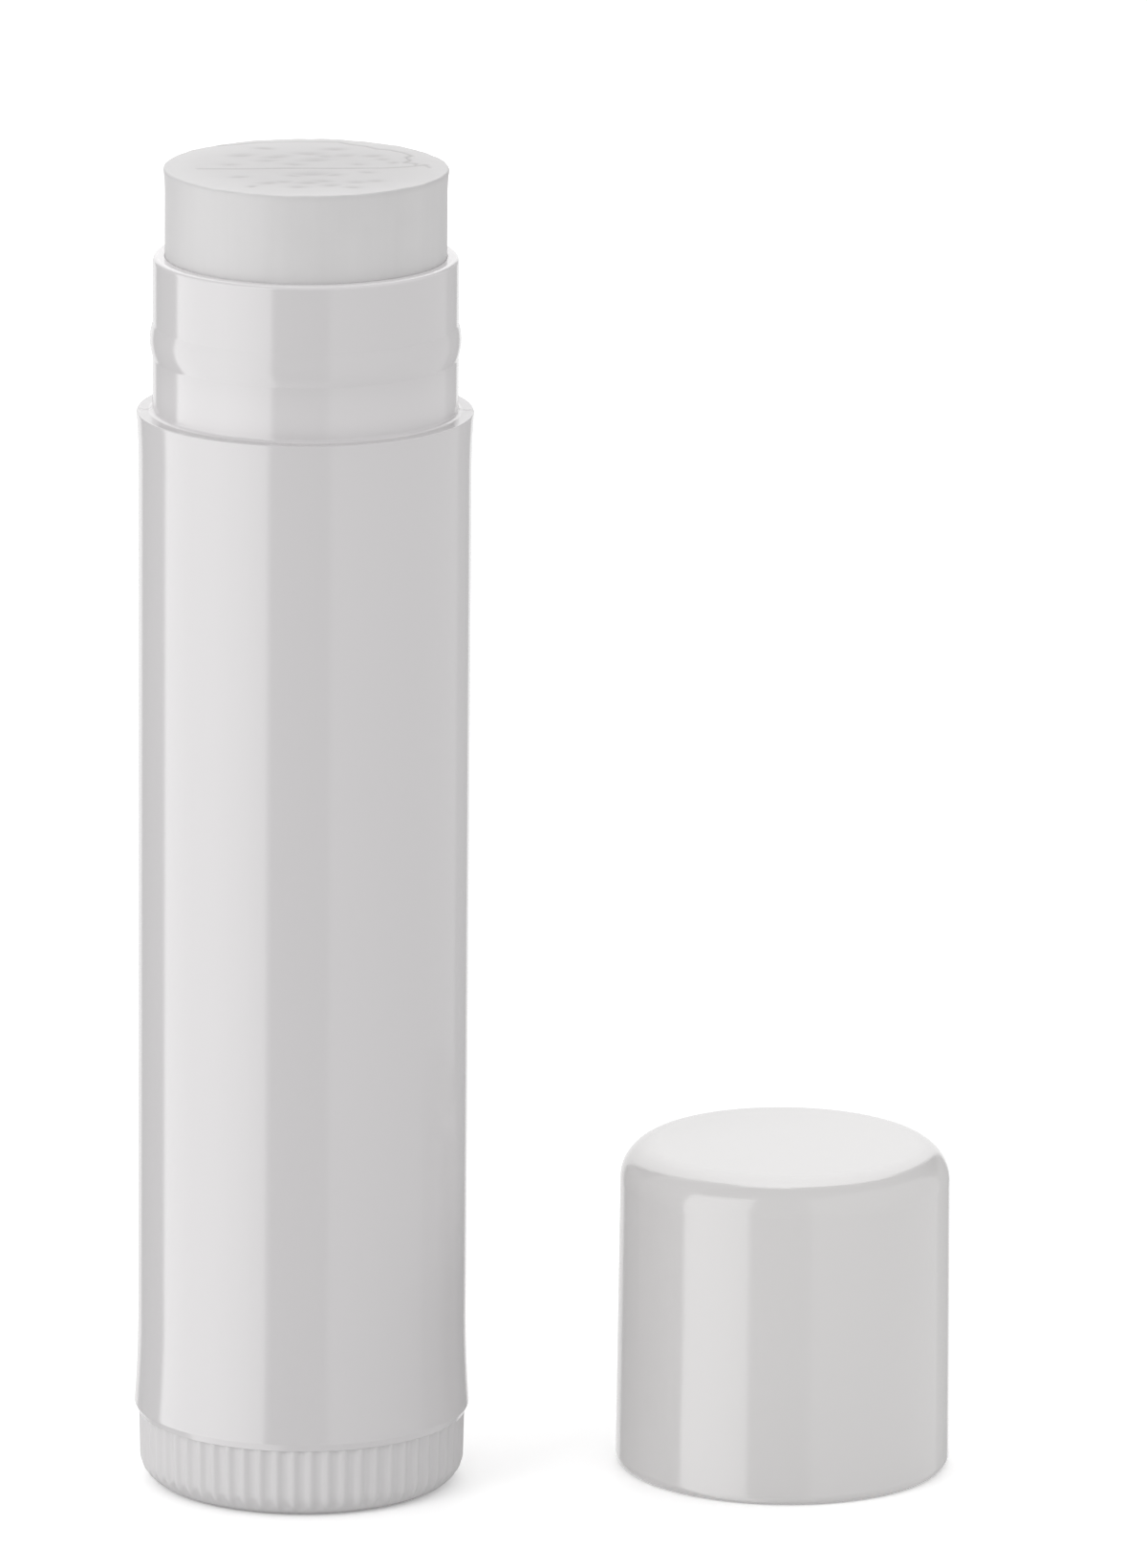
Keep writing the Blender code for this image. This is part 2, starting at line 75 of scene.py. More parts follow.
# Barrel, outside
DROP_FROM_SOLID = 0.00010
FOOT_FLARE = 0.00016
FOOT_FLARE_LENGTH = 0.00500
FOOT_CHAMFER_WIDTH = 0.00018
FOOT_CHAMFER_HEIGHT = 0.00036
FOOT_ROUNDING = 0.00002
FOOT_BROW_ROUNDING = 0.00010
LEDGE_ABOVE_BOTTOM = 0.04987
LEDGE_FLARE = 0.00011
LEDGE_FLARE_LENGTH = 0.00300
LEDGE_ROUNDING = 0.00006
NECK_STEP = 0.00066
NECK_ROOT_ROUNDING = 0.00020
NECK_RIM_ROUNDING = 0.00024
BEAD_CENTRE = 0.00347
BEAD_HEIGHT = 0.00166
BEAD_PROUD = 0.00013
PARTING_LINE_HEIGHT = 0.000012
PARTING_LINE_DEGREES = (-0.26, -0.12, 0.12, 0.26)
PARTING_LINE_FADE = 0.00200

# Barrel, inside
NECK_WALL = 0.00048
NECK_LIP = 0.00007
NECK_LIP_HEIGHT = 0.00035
NECK_LIP_ROUNDING = 0.00002
GUIDE_RIB_WIDTH = 0.00090
GUIDE_RIB_HEIGHT = 0.00045
GUIDE_RIB_BOTTOM = 0.01023
GUIDE_RIB_TOP = 0.05245
GUIDE_CLEARANCE = 0.00015
SOCKET_GROOVE_CENTRE = 0.00673
SOCKET_GROOVE_HEIGHT = 0.00134
SOCKET_GROOVE_DEPTH = 0.00034

# Painted light on the barrel: its colour is made whiter at the mouth as a painted highlight, and at the root
# of the neck and the foot in place of the shade there: how much whiter, how deep and how strongly
PAINTED_EDGE_LIGHT = 0.30
MOUTH_EDGE_DEPTH = 0.00018
ROOT_EDGE_DEPTH = 0.00120
ROOT_EDGE_WIDTH = 0.00022
ROOT_EDGE_SHARE = 0.42
FOOT_EDGE_DEPTH = 0.00045
FOOT_EDGE_SHARE = 0.12

# Thumb wheel
WHEEL_STEP = 0.00005
WHEEL_DRAFT = 0.00005
WHEEL_GAP = 0.00001
WHEEL_EDGE_RADIUS = 0.00130
WHEEL_TOP_ROUNDING = 0.00001
WHEEL_FLOOR = 0.00130
FLUTE_REACH = 0.00085
FLUTE_FOOT_LOW = 0.00010
FLUTE_FOOT_HIGH = 0.00065
FLUTE_SHARPNESS = 1.5
PLUG_CLEARANCE = 0.00014
PLUG_WALL = 0.00095
PLUG_TIP_ROUNDING = 0.00025
SNAP_HEIGHT = 0.00110
SNAP_SLOPE = 0.00034
BOSS_WALL = 0.00110
BOSS_TOP = 0.00813
SOCKET_DEPTH = 0.00380

# Spindle
PEG_RADIUS = 0.00150
PEG_CLEARANCE = 0.00010
PEG_LENGTH = 0.00350
PEG_SIDES = 6
FLANGE_RADIUS = 0.00260
FLANGE_THICKNESS = 0.00070
SHANK_LENGTH = 0.00080
SPINDLE_CORE_RADIUS = 0.00150
SPINDLE_TIP_CHAMFER = 0.00040
THREAD_CREST_WIDTH = 0.00035
THREAD_FLANK_WIDTH = 0.00035
THREAD_RUNOUT_SHARE = 0.25
SCREW_HAND = -1

# Balm, and the cup that it sits in
CUP_FLOOR = 0.00090
CUP_NOTCH_WALL = 0.00044
HUB_RADIUS = 0.00317
HUB_TOP = 0.00720
SEAT_GAP = 0.00010
BALM_CLEARANCE = 0.00008
BALM_FLARE = 0.00007
BALM_FLARE_LENGTH = 0.00130
BALM_EDGE = 0.00012
BALM_BORE_RADIUS = 0.00235
BALM_BORE_TOP = 0.05885

# Cap
CAP_LIP_WALL = 0.00061
CAP_SIDE_DRAFT = 0.00013
CAP_LIP_ROUNDING = 0.00050
CAP_MOUTH_CHAMFER = 0.00010
CAP_BORE_DRAFT = 0.00008
CAP_TOP_WALL = 0.00095
CAP_CORNER_ROUNDING = 0.00100
CAP_RING_CENTRE = 0.00233
CAP_RING_HEIGHT = 0.00050
CAP_RING_PROUD = 0.00024
CAP_RING_SLOPE = 0.00020

# Meshes: how finely each shape is divided
COLUMNS = 256
BALM_COLUMNS = 480
SPINDLE_COLUMNS = 96
WHEEL_COLUMNS_PER_FLUTE = 10
FOOT_FLARE_PARTS = 8
TOP_FLARE_PARTS = 6
BEAD_PARTS = 20
WHEEL_EDGE_PARTS = 24
WHEEL_SIDE_PARTS = 12
BALM_SIDE_PARTS = 30
BALM_TOP_RINGS = 84
THREAD_ROWS_PER_TURN = 24
ARC_STEP_DEGREES = 4
FEWEST_ARC_STEPS = 3

# Meshes: small distances for crisp corners, clean cuts and comparisons, and the angle of a sharp edge
HOLDING_GAP = 0.00003
LONG_SIDE = 0.00012
OVERRUN = 0.00100
CORE_TOLERANCE = 0.00001
SMALLEST_REACH = 0.000001
MERGE_DISTANCE = 0.0000001
SHARP_ANGLE = math.radians(35)

# Plastics: shine, how much the shade varies, how deep the ripple is, and its patches and grain
BARREL_GLOSS = 0.50
CAP_GLOSS = 0.42
SATIN_GLOSS = 0.50
GLOSSY_SHADE_VARIATION = 0.03
GLOSSY_RIPPLE = 0.0000004
SATIN_SHADE_VARIATION = 0.04
SATIN_RIPPLE = 0.000001
ROUGHNESS_VARIATION = 0.03
PATCH_SCALE = 90.0
PATCH_FINENESS = (3.0, 0.5)
PATCH_STRETCH = (1, 1, 0.25)
PATCH_RELIEF = 4.0
GRAIN_SCALE = 2500.0
GRAIN_FINENESS = (2.0, 0.6)

# Balm wax: scale, detail and roughness of its patterns, and how much they change its shade and relief
BALM_GLOSS = 0.40
CLOUDS = (420.0, 4.0, 0.55)
CLOUD_SHADE = 0.07
CLOUD_ROUGHNESS = 0.16
CLOUD_RELIEF = 5.0
CRUMBS = (2600.0, 3.0, 0.6)
STREAKS = (900.0, 3.0, 0.6)
STREAK_STRETCH = (1, 1, 0.03)
STREAK_SHADE = 0.06
WAX_RELIEF = 0.000004

# Dents in the balm's top, in millimetres and degrees: (x, y, half length, half width, turn, depth)
DENTS_MM = (
    (-3.1, 2.6, 0.55, 0.28, 10, 0.050),
    (-2.0, 4.3, 0.45, 0.25, -15, 0.040),
    (-1.4, 2.3, 0.60, 0.30, 25, 0.055),
    (-1.9, 1.4, 0.50, 0.26, 5, 0.045),
    (-3.6, 0.4, 0.40, 0.24, 0, 0.035),
    (0.1, 3.1, 0.62, 0.33, -8, 0.055),
    (0.4, 1.6, 0.66, 0.34, 12, 0.060),
    (0.9, 2.5, 0.40, 0.24, -20, 0.045),
    (1.4, 4.2, 0.52, 0.28, 6, 0.045),
    (1.9, 2.7, 0.50, 0.27, 15, 0.050),
    (2.5, 0.6, 0.36, 0.22, -10, 0.040),
    (3.2, 2.6, 0.46, 0.25, 8, 0.045),
    (3.7, 1.8, 0.30, 0.20, 0, 0.040),
    (4.2, 1.0, 0.24, 0.18, 30, 0.045),
    (-0.6, 0.5, 0.46, 0.25, -12, 0.045),
    (0.2, -1.7, 0.85, 0.38, 4, 0.070),
    (-0.6, -2.1, 0.42, 0.26, -18, 0.045),
    (1.3, -1.9, 0.46, 0.27, 12, 0.050),
    (-1.8, -3.9, 0.44, 0.25, 20, 0.040),
    (-1.1, -3.6, 0.34, 0.22, -5, 0.040),
    (0.1, -3.8, 0.50, 0.28, 10, 0.050),
    (0.8, -3.4, 0.40, 0.24, -14, 0.045),
    (-0.4, -4.8, 0.40, 0.22, 0, 0.035),
    (1.2, -4.4, 0.42, 0.24, 16, 0.045),
    (2.2, -4.8, 0.38, 0.22, -10, 0.040),
    (2.4, -3.6, 0.44, 0.25, 8, 0.045),
    (3.3, -3.3, 0.40, 0.24, 0, 0.045),
    (-3.2, -2.5, 0.42, 0.22, 10, 0.030),
    (-2.6, -4.7, 0.22, 0.16, 35, 0.060),
    (2.9, -1.3, 0.36, 0.22, -6, 0.035),
)
DENT_SPREAD = 1.2
# Painted shade in the dents: how far their colour goes towards the dent shade colour
DENT_SHADE = 0.62

# Cracks and scored lines on the balm's top, in millimetres: (half width, depth, points)
SCORES_MM = (
    (0.085, 0.040, (
        (-5.2, -0.6), (-3.2, -0.6), (-0.9, -0.4), (1.4, -0.4), (3.6, -0.3), (4.8, 0.0), (5.8, 0.5))),
    (0.085, 0.050, (
        (1.6, 5.9), (2.2, 5.3), (2.9, 4.9), (3.4, 4.3), (4.1, 4.0), (4.7, 3.4), (5.1, 2.7), (4.8, 2.3),
        (5.0, 1.6), (4.7, 1.0), (5.3, 0.8))),
    (0.080, 0.040, ((5.3, 0.8), (5.2, 0.2), (5.7, 0.6), (5.9, -0.1))),
    (0.085, 0.030, ((-4.2, 5.0), (-2.4, 5.7), (-0.4, 6.0), (1.6, 5.9))),
)
# Painted shade in the cracks and scored lines: how far their colour goes towards the dent shade colour
SCORE_SHADE = 0.85
FAR_AWAY_MM = 1e9

# Patch of painted shade over most of the balm's top, in millimetres: (x, y, half length, half width,
# strength)
SHADED_PATCH_MM = (0.8, -0.2, 6.4, 6.0, 0.44)

# Waves in which the balm's edge sags, in millimetres: (depth, waves round the edge, phase)
EDGE_SAG_MM = ((0.012, 3, 0.7), (0.008, 11, 2.1), (0.006, 23, 4.0), (0.004, 41, 1.3))
EDGE_SAG_WIDTH_MM = 1.2


def colour_property(name, description, default):
    """A colour that a user can change."""
    return FloatVectorProperty(name=name, description=description, default=default, size=3, min=0, max=1,
                               subtype="COLOR")


def length_property(name, description, default):
    """A length that a user can change, in metres."""
    return FloatProperty(name=name, description=description, default=default, min=0.00001, precision=5,
                         unit="LENGTH", subtype="DISTANCE")


def share_property(name, description, default, most=1):
    """A share that a user can change."""
    return FloatProperty(name=name, description=description, default=default, min=0, max=most,
                         subtype="FACTOR")


def power_property(name, description, default):
    """A lamp's power that a user can change, in watts."""
    return FloatProperty(name=name, description=description, default=default, min=0, unit="POWER",
                         subtype="POWER")


class LIPBALM_PG_plastics(bpy.types.PropertyGroup):
    """Colours and roughness of the plastics."""

    gloss_colour: colour_property("Gloss white", "Colour of the barrel", (0.600, 0.587, 0.593))
    gloss_roughness: share_property("Gloss roughness", "Roughness of the barrel and the cap", 0.13)
    # Painted light: the cap's white is the barrel's, made a little whiter for the brighter light that falls
    # on it
    cap_colour_with_painted_light: colour_property("Cap white", "Colour of the cap", (0.644, 0.633, 0.631))
    satin_colour: colour_property(
        "Satin white", "Colour of the wheel, spindle and cup", (0.614, 0.604, 0.608))
    satin_roughness: share_property("Satin roughness", "Roughness of the wheel, spindle and cup", 0.65)


class LIPBALM_PG_barrel(bpy.types.PropertyGroup):
    """Sizes of the barrel."""

    foot_radius: length_property(
        "Foot radius", "Radius of the flared foot", (BARREL_HIGH.x - BARREL_LOW.x) / 2)
    bottom: length_property("Bottom", "Height of the barrel's lower edge", BARREL_LOW.z - DROP_FROM_SOLID)
    rim: length_property("Rim", "Height of the neck's rim", BARREL_HIGH.z - DROP_FROM_SOLID)
    bead_proud: length_property("Bead", "How far the snap bead stands out of the neck", BEAD_PROUD)


class LIPBALM_PG_wheel(bpy.types.PropertyGroup):
    """Sizes of the thumb wheel and the spindle."""

    top: length_property("Rim height", "Height of the ribbed rim", BARREL_LOW.z - DROP_FROM_SOLID - WHEEL_GAP)
    flute_count: IntProperty(name="Flutes", description="Number of flutes round the rim", default=60, min=3)
    flute_depth: length_property("Flute depth", "Depth of the flutes", 0.00016)
    lead: length_property("Screw lead", "Height that one turn raises the balm", 0.00400)
    thread_height: length_property("Thread height", "Height of the screw's thread", 0.00060)


class LIPBALM_PG_balm(bpy.types.PropertyGroup):
    """Size, colours and roughness of the balm."""

    top: length_property("Top", "Height of the balm's top", BALM_HIGH.z)
    dent_depth: share_property(
        "Dent depth", "Depth of the dents and cracks in the top, as a share of the usual one", 1, most=3)
    colour: colour_property("Balm", "Colour of the balm", (0.590, 0.582, 0.584))
    # Painted shade: the dark colour put into the dents, cracks and a patch of the top
    dent_shade_colour: colour_property("Dents", "Colour in the dents and cracks", (0.365, 0.355, 0.359))
    roughness: share_property("Roughness", "Roughness of the balm", 0.50)


class LIPBALM_PG_cap(bpy.types.PropertyGroup):
    """Sizes of the cap."""

    lip_radius: length_property("Lip radius", "Outer radius at the open end", (CAP_HIGH.x - CAP_LOW.x) / 2)
    height: length_property("Height", "Height of the cap", CAP_HIGH.z - CAP_LOW.z)
    top_rounding: length_property("Top rounding", "Radius of the rounded top edge", 0.00185)


class LIPBALM_PG_stage(bpy.types.PropertyGroup):
    """Floor and light."""

    floor_colour: colour_property("Floor", "Colour of the floor", (0.95, 0.95, 0.95))
    floor_whiteness: FloatProperty(
        name="Floor whiteness", description="How much whiter the camera sees the floor than it is",
        default=1.36, min=1)
    floor_haze: share_property("Floor haze", "Share of plain white that the camera sees over the floor", 0.20)
    room_light: FloatProperty(name="Room light", description="Even light from all round", default=0.83, min=0)
    key_lamp: power_property("Key lamp", "Power of the soft lamp at the front left", 2.6)
    back_lamp: power_property("Back lamp", "Power of the soft lamp behind and above", 1.7)
    right_lamp: power_property("Right lamp", "Power of the soft lamp on the right", 1.2)


def rounded(points):
    """An open outline from (radius, height, rounding) points, with arcs at the corners that are rounded.

    Its end points have no rounding. Where one only gives a corner its direction, the caller cuts it off.
    """
    outline = []
    for i, (radius, height, rounding) in enumerate(points):
        corner = Vector((radius, height))
        if rounding == 0:
            outline.append(tuple(corner))
            continue
        before = (Vector(points[i - 1][:2]) - corner).normalized()
        after = (Vector(points[i + 1][:2]) - corner).normalized()
        half = before.angle(after) / 2
        reach = rounding / math.tan(half)
        centre = corner + (before + after).normalized() * (rounding / math.sin(half))
        start = corner + before * reach - centre
        end = corner + after * reach - centre
        sweep = start.angle_signed(end)
        steps = max(FEWEST_ARC_STEPS, math.ceil(abs(math.degrees(sweep)) / ARC_STEP_DEGREES))
        for step in range(steps + 1):
            arm = start.copy()
            arm.rotate(Matrix.Rotation(-sweep * step / steps, 2))
            outline.append(tuple(centre + arm))
    return outline


def held(outline):
    """A closed outline with points added near the ends of its long sides, so that its corners stay crisp."""
    points = [Vector(point) for point in outline]
    result = []
    for start, end in zip(points, points[1:] + points[:1]):
        result.append(tuple(start))
        side = end - start
        on_axis = start.x == 0 and end.x == 0
        if side.length > LONG_SIDE and not on_axis:
            step = side.normalized() * HOLDING_GAP
            result += [tuple(start + step), tuple(end - step)]
    return result


def straight(start, end, parts):
    """A straight side in equal parts, with both its ends."""
    shares = [i / parts for i in range(parts + 1)]
    return [(start[0] + (end[0] - start[0]) * share, start[1] + (end[1] - start[1]) * share)
            for share in shares]


def flare(end_radius, base_radius, end_height, base_height, parts):
    """A side that leaves the straight wall smoothly and reaches end_radius at end_height, from there on."""
    points = []
    for i in range(parts + 1):
        share = i / parts
        radius = base_radius + (end_radius - base_radius) * (1 - share) ** 2
        points.append((radius, end_height + (base_height - end_height) * share))
    return points


def round_bead(base_radius, centre, height, proud, parts):
    """A round bead on a straight side, from its foot up."""
    half = height / 2
    arc_radius = (half * half + proud * proud) / (2 * proud)
    points = []
    for i in range(parts + 1):
        offset = height * i / parts - half
        rise = proud - arc_radius + math.sqrt(arc_radius * arc_radius - offset * offset)
        points.append((base_radius + rise, centre + offset))
    return points


def even_angles(count):
    """Angles of evenly spaced columns."""
    return [FULL_TURN * column / count for column in range(count)]


def turned_mesh(name, outline, angles):
    """A mesh turned round Z from a closed outline that runs anticlockwise, with the radius to the right."""
    vertices = []
    rows = []
    for radius, height in outline:
        if radius == 0:
            rows.append([len(vertices)] * len(angles))
            vertices.append((0, 0, height))
        else:
            rows.append(list(range(len(vertices), len(vertices) + len(angles))))
            vertices.extend((radius * math.cos(angle), radius * math.sin(angle), height) for angle in angles)
    faces = []
    for row, following in zip(rows, rows[1:] + rows[:1]):
        for column in range(len(angles)):
            after = (column + 1) % len(angles)
            face = tuple(dict.fromkeys((row[column], row[after], following[after], following[column])))
            if len(face) > 2:
                faces.append(face)
    mesh = bpy.data.meshes.new(name)
    mesh.from_pydata(vertices, [], faces)
    mesh.validate()
    return mesh


def linked(name, data):
    """An object for a mesh, lamp or camera, in the scene."""
    item = bpy.data.objects.new(name, data)
    bpy.context.scene.collection.objects.link(item)
    return item


def set_only_material(mesh, material):
    """Give a mesh one material and no other."""
    mesh.materials.clear()
    mesh.materials.append(material)


def new_piece(name, mesh, material):
    """An object for a mesh, with its material."""
    set_only_material(mesh, material)
    return linked(name, mesh)


def extruded(name, corners, bottom, top):
    """An upright solid over a polygon whose corners run anticlockwise."""
    count = len(corners)
    vertices = [(x, y, height) for height in (bottom, top) for x, y in corners]
    sides = [(i, (i + 1) % count, (i + 1) % count + count, i + count) for i in range(count)]
    mesh = bpy.data.meshes.new(name)
    mesh.from_pydata(vertices, [], [tuple(range(count))[::-1], tuple(range(count, 2 * count)), *sides])
    return linked(name, mesh)


def guide_tools(name, inner_radius, outer_radius, half_width, bottom, top):
    """The two upright blocks of the guide ribs or their grooves, at +X and -X."""
    tools = []
    for side in (1, -1):
        near, far = sorted((side * inner_radius, side * outer_radius))
        corners = ((near, -half_width), (far, -half_width), (far, half_width), (near, half_width))
        tools.append(extruded(f"{name}_{len(tools)}", corners, bottom, top))
    return tools


def prism_tool(name, radius, bottom, top):
    """The six-sided body of the spindle's peg or its socket."""
    corners = [(radius * math.cos(angle), radius * math.sin(angle)) for angle in even_angles(PEG_SIDES)]
    return extruded(name, corners, bottom, top)


def combine(piece, tool, operation):
    """Join or cut a piece with a tool body."""
    step = piece.modifiers.new(tool.name, "BOOLEAN")
    step.operation = operation
    step.solver = "EXACT"
    step.object = tool


def bake_modifiers(piece):
    """Turn a piece's modifiers into its plain mesh, free of slivers, and remove the tool bodies."""
    tools = [step.object for step in piece.modifiers if step.type == "BOOLEAN"]
    view = bpy.context.evaluated_depsgraph_get()
    view.update()
    mesh = bpy.data.meshes.new_from_object(piece.evaluated_get(view))
    shape = bmesh.new()
    shape.from_mesh(mesh)
    bmesh.ops.remove_doubles(shape, verts=shape.verts, dist=MERGE_DISTANCE)
    shape.to_mesh(mesh)
    shape.free()
    piece.modifiers.clear()
    old_mesh = piece.data
    material = old_mesh.materials[0]
    piece.data = mesh
    bpy.data.meshes.remove(old_mesh)
    mesh.name = piece.name
    set_only_material(mesh, material)
    for tool in tools:
        bpy.data.objects.remove(tool)


def finish_piece(piece, node, body):
    """Shade a piece and let it stand for its CAD node."""
    piece.data.shade_smooth()
    piece.data.set_sharp_from_angle(angle=SHARP_ANGLE)
    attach(piece, body)
    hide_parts(node)


def read_points(mesh, field="co"):
    """A mesh's points, or its normals at them, as rows of X, Y and Z."""
    values = np.empty(len(mesh.vertices) * 3)
    mesh.vertices.foreach_get(field, values)
    return values.reshape(-1, 3)


def move_points(mesh, points):
    """Put a mesh's points in new places."""
    mesh.vertices.foreach_set("co", points.ravel())
    mesh.update()


def store_mark(mesh, name, values):
    """Keep a number for each point in an attribute that a material reads."""
    mark = mesh.attributes.new(name, "FLOAT", "POINT")
    mark.data.foreach_set("value", values.ravel().astype(np.float32))


def add_sockets(tree, inputs, outputs):
    """Give a node group its named inputs and outputs, and return the inputs as the nodes inside see them."""
    for direction, sockets in (("INPUT", inputs), ("OUTPUT", outputs)):
        for label, kind in sockets.items():
            tree.interface.new_socket(label, in_out=direction, socket_type=f"NodeSocket{kind}")
    return tree.nodes.new("NodeGroupInput").outputs


def new_node(tree, kind, inputs=None, **settings):
    """A node with its settings, and with inputs set to values or linked from other nodes' outputs."""
    node = tree.nodes.new(kind)
    for key, value in settings.items():
        setattr(node, key, value)
    for key, value in (inputs or {}).items():
        if isinstance(value, bpy.types.NodeSocket):
            tree.links.new(value, node.inputs[key])
        else:
            node.inputs[key].default_value = value
    return node


def maths(tree, operation, *values):
    """The result of a Math node."""
    return new_node(tree, "ShaderNodeMath", dict(enumerate(values)), operation=operation).outputs[0]


def scaled(tree, vector, factor):
    """A colour or vector times a factor."""
    return new_node(tree, "ShaderNodeVectorMath", {0: vector, "Scale": factor}, operation="SCALE").outputs[0]


def noise(tree, place, scale, detail, roughness):
    """The value of a noise pattern."""
    node = new_node(tree, "ShaderNodeTexNoise", {
        "Vector": place, "Scale": scale, "Detail": detail, "Roughness": roughness})
    return node.outputs["Fac"]


def moulded_surface_group():
    """Shared shader group: slight shade and gloss variation and the fine ripple of a moulded surface."""
    name = "moulded_surface"
    if name in bpy.data.node_groups:
        return bpy.data.node_groups[name]
    tree = bpy.data.node_groups.new(name, "ShaderNodeTree")
    given = add_sockets(
        tree,
        {"Colour": "Color", "Shade Variation": "Float", "Roughness": "Float", "Roughness Variation": "Float",
         "Patch Scale": "Float", "Grain Scale": "Float"},
        {"Colour": "Color", "Roughness": "Float", "Height": "Float"})
    place = tree.nodes.new("ShaderNodeTexCoord").outputs["Object"]
    stretched = new_node(tree, "ShaderNodeMapping", {"Vector": place, "Scale": PATCH_STRETCH})
    patches = noise(tree, stretched.outputs["Vector"], given["Patch Scale"], *PATCH_FINENESS)
    grain = noise(tree, place, given["Grain Scale"], *GRAIN_FINENESS)
    drift = maths(tree, "SUBTRACT", patches, 0.5)
    shade = maths(tree, "MULTIPLY_ADD", drift, given["Shade Variation"], 1.0)
    speckle = maths(tree, "SUBTRACT", grain, 0.5)
    new_node(tree, "NodeGroupOutput", {
        "Colour": scaled(tree, given["Colour"], shade),
        "Roughness": maths(tree, "MULTIPLY_ADD", speckle, given["Roughness Variation"], given["Roughness"]),
        "Height": maths(tree, "MULTIPLY_ADD", patches, PATCH_RELIEF, grain)})
    return tree


def feed_shader(tree, colour, roughness, height, relief, gloss):
    """Feed a material's Principled BSDF, with a bump as deep as relief."""
    bump = new_node(tree, "ShaderNodeBump", {"Height": height, "Distance": relief})
    shader = tree.nodes["Principled BSDF"]
    tree.links.new(colour, shader.inputs["Base Color"])
    tree.links.new(roughness, shader.inputs["Roughness"])
    tree.links.new(bump.outputs["Normal"], shader.inputs["Normal"])
    shader.inputs["Specular IOR Level"].default_value = gloss


def plastic(name, colour, gloss, roughness, shade_variation, ripple):
    """A moulded plastic, with painted light that makes it whiter where the mesh marks the barrel's mouth,
    neck root and foot.
    """
    if name in bpy.data.materials:
        return bpy.data.materials[name]
    material = bpy.data.materials.new(name)
    material.use_nodes = True
    tree = material.node_tree
    surface = new_node(tree, "ShaderNodeGroup", {
        "Colour": (*colour, 1), "Shade Variation": shade_variation, "Roughness": roughness,
        "Roughness Variation": ROUGHNESS_VARIATION, "Patch Scale": PATCH_SCALE, "Grain Scale": GRAIN_SCALE},
        node_tree=moulded_surface_group())
    # Painted light: lifts the colour where the mesh marks it, as a painted highlight on the mouth and lighter
    # colour in place of the shade at the neck root and foot
    edge = new_node(tree, "ShaderNodeAttribute", attribute_name="thin_edge")
    lift = maths(tree, "MULTIPLY_ADD", edge.outputs["Fac"], PAINTED_EDGE_LIGHT, 1.0)
    feed_shader(tree, scaled(tree, surface.outputs["Colour"], lift), surface.outputs["Roughness"],
                surface.outputs["Height"], ripple, gloss)
    return material


def gloss_plastic():
    """Glossy white plastic of the barrel."""
    settings = bpy.context.scene.lip_balm_plastics
    return plastic("gloss_white_plastic", settings.gloss_colour, BARREL_GLOSS, settings.gloss_roughness,
                   GLOSSY_SHADE_VARIATION, GLOSSY_RIPPLE)


def cap_plastic():
    """Glossy plastic of the cap, whose white is made a little whiter than the barrel's as painted light for
    the brighter light on the cap.
    """
    settings = bpy.context.scene.lip_balm_plastics
    return plastic("cap_white_plastic", settings.cap_colour_with_painted_light, CAP_GLOSS, settings.gloss_roughness,
                   GLOSSY_SHADE_VARIATION, GLOSSY_RIPPLE)


def satin_plastic():
    """Satin white plastic of the wheel, the spindle and the cup."""
    settings = bpy.context.scene.lip_balm_plastics
    return plastic("satin_white_plastic", settings.satin_colour, SATIN_GLOSS, settings.satin_roughness,
                   SATIN_SHADE_VARIATION, SATIN_RIPPLE)


def balm_wax():
    """Waxy balm: mottled, with painted shade in its dents, its cracks and a patch of its top, which the mesh
    marks in an attribute.
    """
    settings = bpy.context.scene.lip_balm_balm
    material = bpy.data.materials.new("white_balm_wax")
    material.use_nodes = True
    tree = material.node_tree
    place = tree.nodes.new("ShaderNodeTexCoord").outputs["Object"]
    drawn = new_node(tree, "ShaderNodeMapping", {"Vector": place, "Scale": STREAK_STRETCH})
    clouds = noise(tree, place, *CLOUDS)
    crumbs = noise(tree, place, *CRUMBS)
    streaks = noise(tree, drawn.outputs["Vector"], *STREAKS)
    cloudy = maths(tree, "MULTIPLY_ADD", clouds, CLOUD_SHADE, 1 - (CLOUD_SHADE + STREAK_SHADE) / 2)
    mottle = maths(tree, "MULTIPLY_ADD", streaks, STREAK_SHADE, cloudy)
    # Painted shade in the dents, cracks and a patch of the top
    dent = new_node(tree, "ShaderNodeAttribute", attribute_name="dent")
    colour = new_node(tree, "ShaderNodeMix", data_type="RGBA", blend_type="MIX")
    tree.links.new(dent.outputs["Fac"], colour.inputs["Factor"])
    tree.links.new(scaled(tree, tuple(settings.colour), mottle), colour.inputs["A"])
    colour.inputs["B"].default_value = (*settings.dent_shade_colour, 1)
    roughness = maths(tree, "MULTIPLY_ADD", clouds, CLOUD_ROUGHNESS, settings.roughness - CLOUD_ROUGHNESS / 2)
    height = maths(tree, "MULTIPLY_ADD", clouds, CLOUD_RELIEF, crumbs)
    feed_shader(tree, colour.outputs["Result"], roughness, height, WAX_RELIEF, BALM_GLOSS)
    return material


def add_parting_lines(mesh, bottom, rim):
    """Raise the two fine mould lines down the barrel's outside, at +X and -X."""
    points = read_points(mesh)
    angle = np.degrees(np.arctan2(points[:, 1], np.abs(points[:, 0])))
    inner, outer = PARTING_LINE_DEGREES[2:]
    line = np.clip((outer - np.abs(angle)) / (outer - inner), 0, 1)
    outside = np.hypot(points[:, 0], points[:, 1]) > BARREL_HIGH.x - NECK_STEP - NECK_WALL / 2
    above_foot = np.clip((points[:, 2] - bottom - FOOT_FLARE_LENGTH) / PARTING_LINE_FADE, 0, 1)
    below_rim = points[:, 2] < rim - NECK_RIM_ROUNDING
    raised = line * above_foot * outside * below_rim * PARTING_LINE_HEIGHT
    move_points(mesh, points + read_points(mesh, "normal") * raised[:, None])


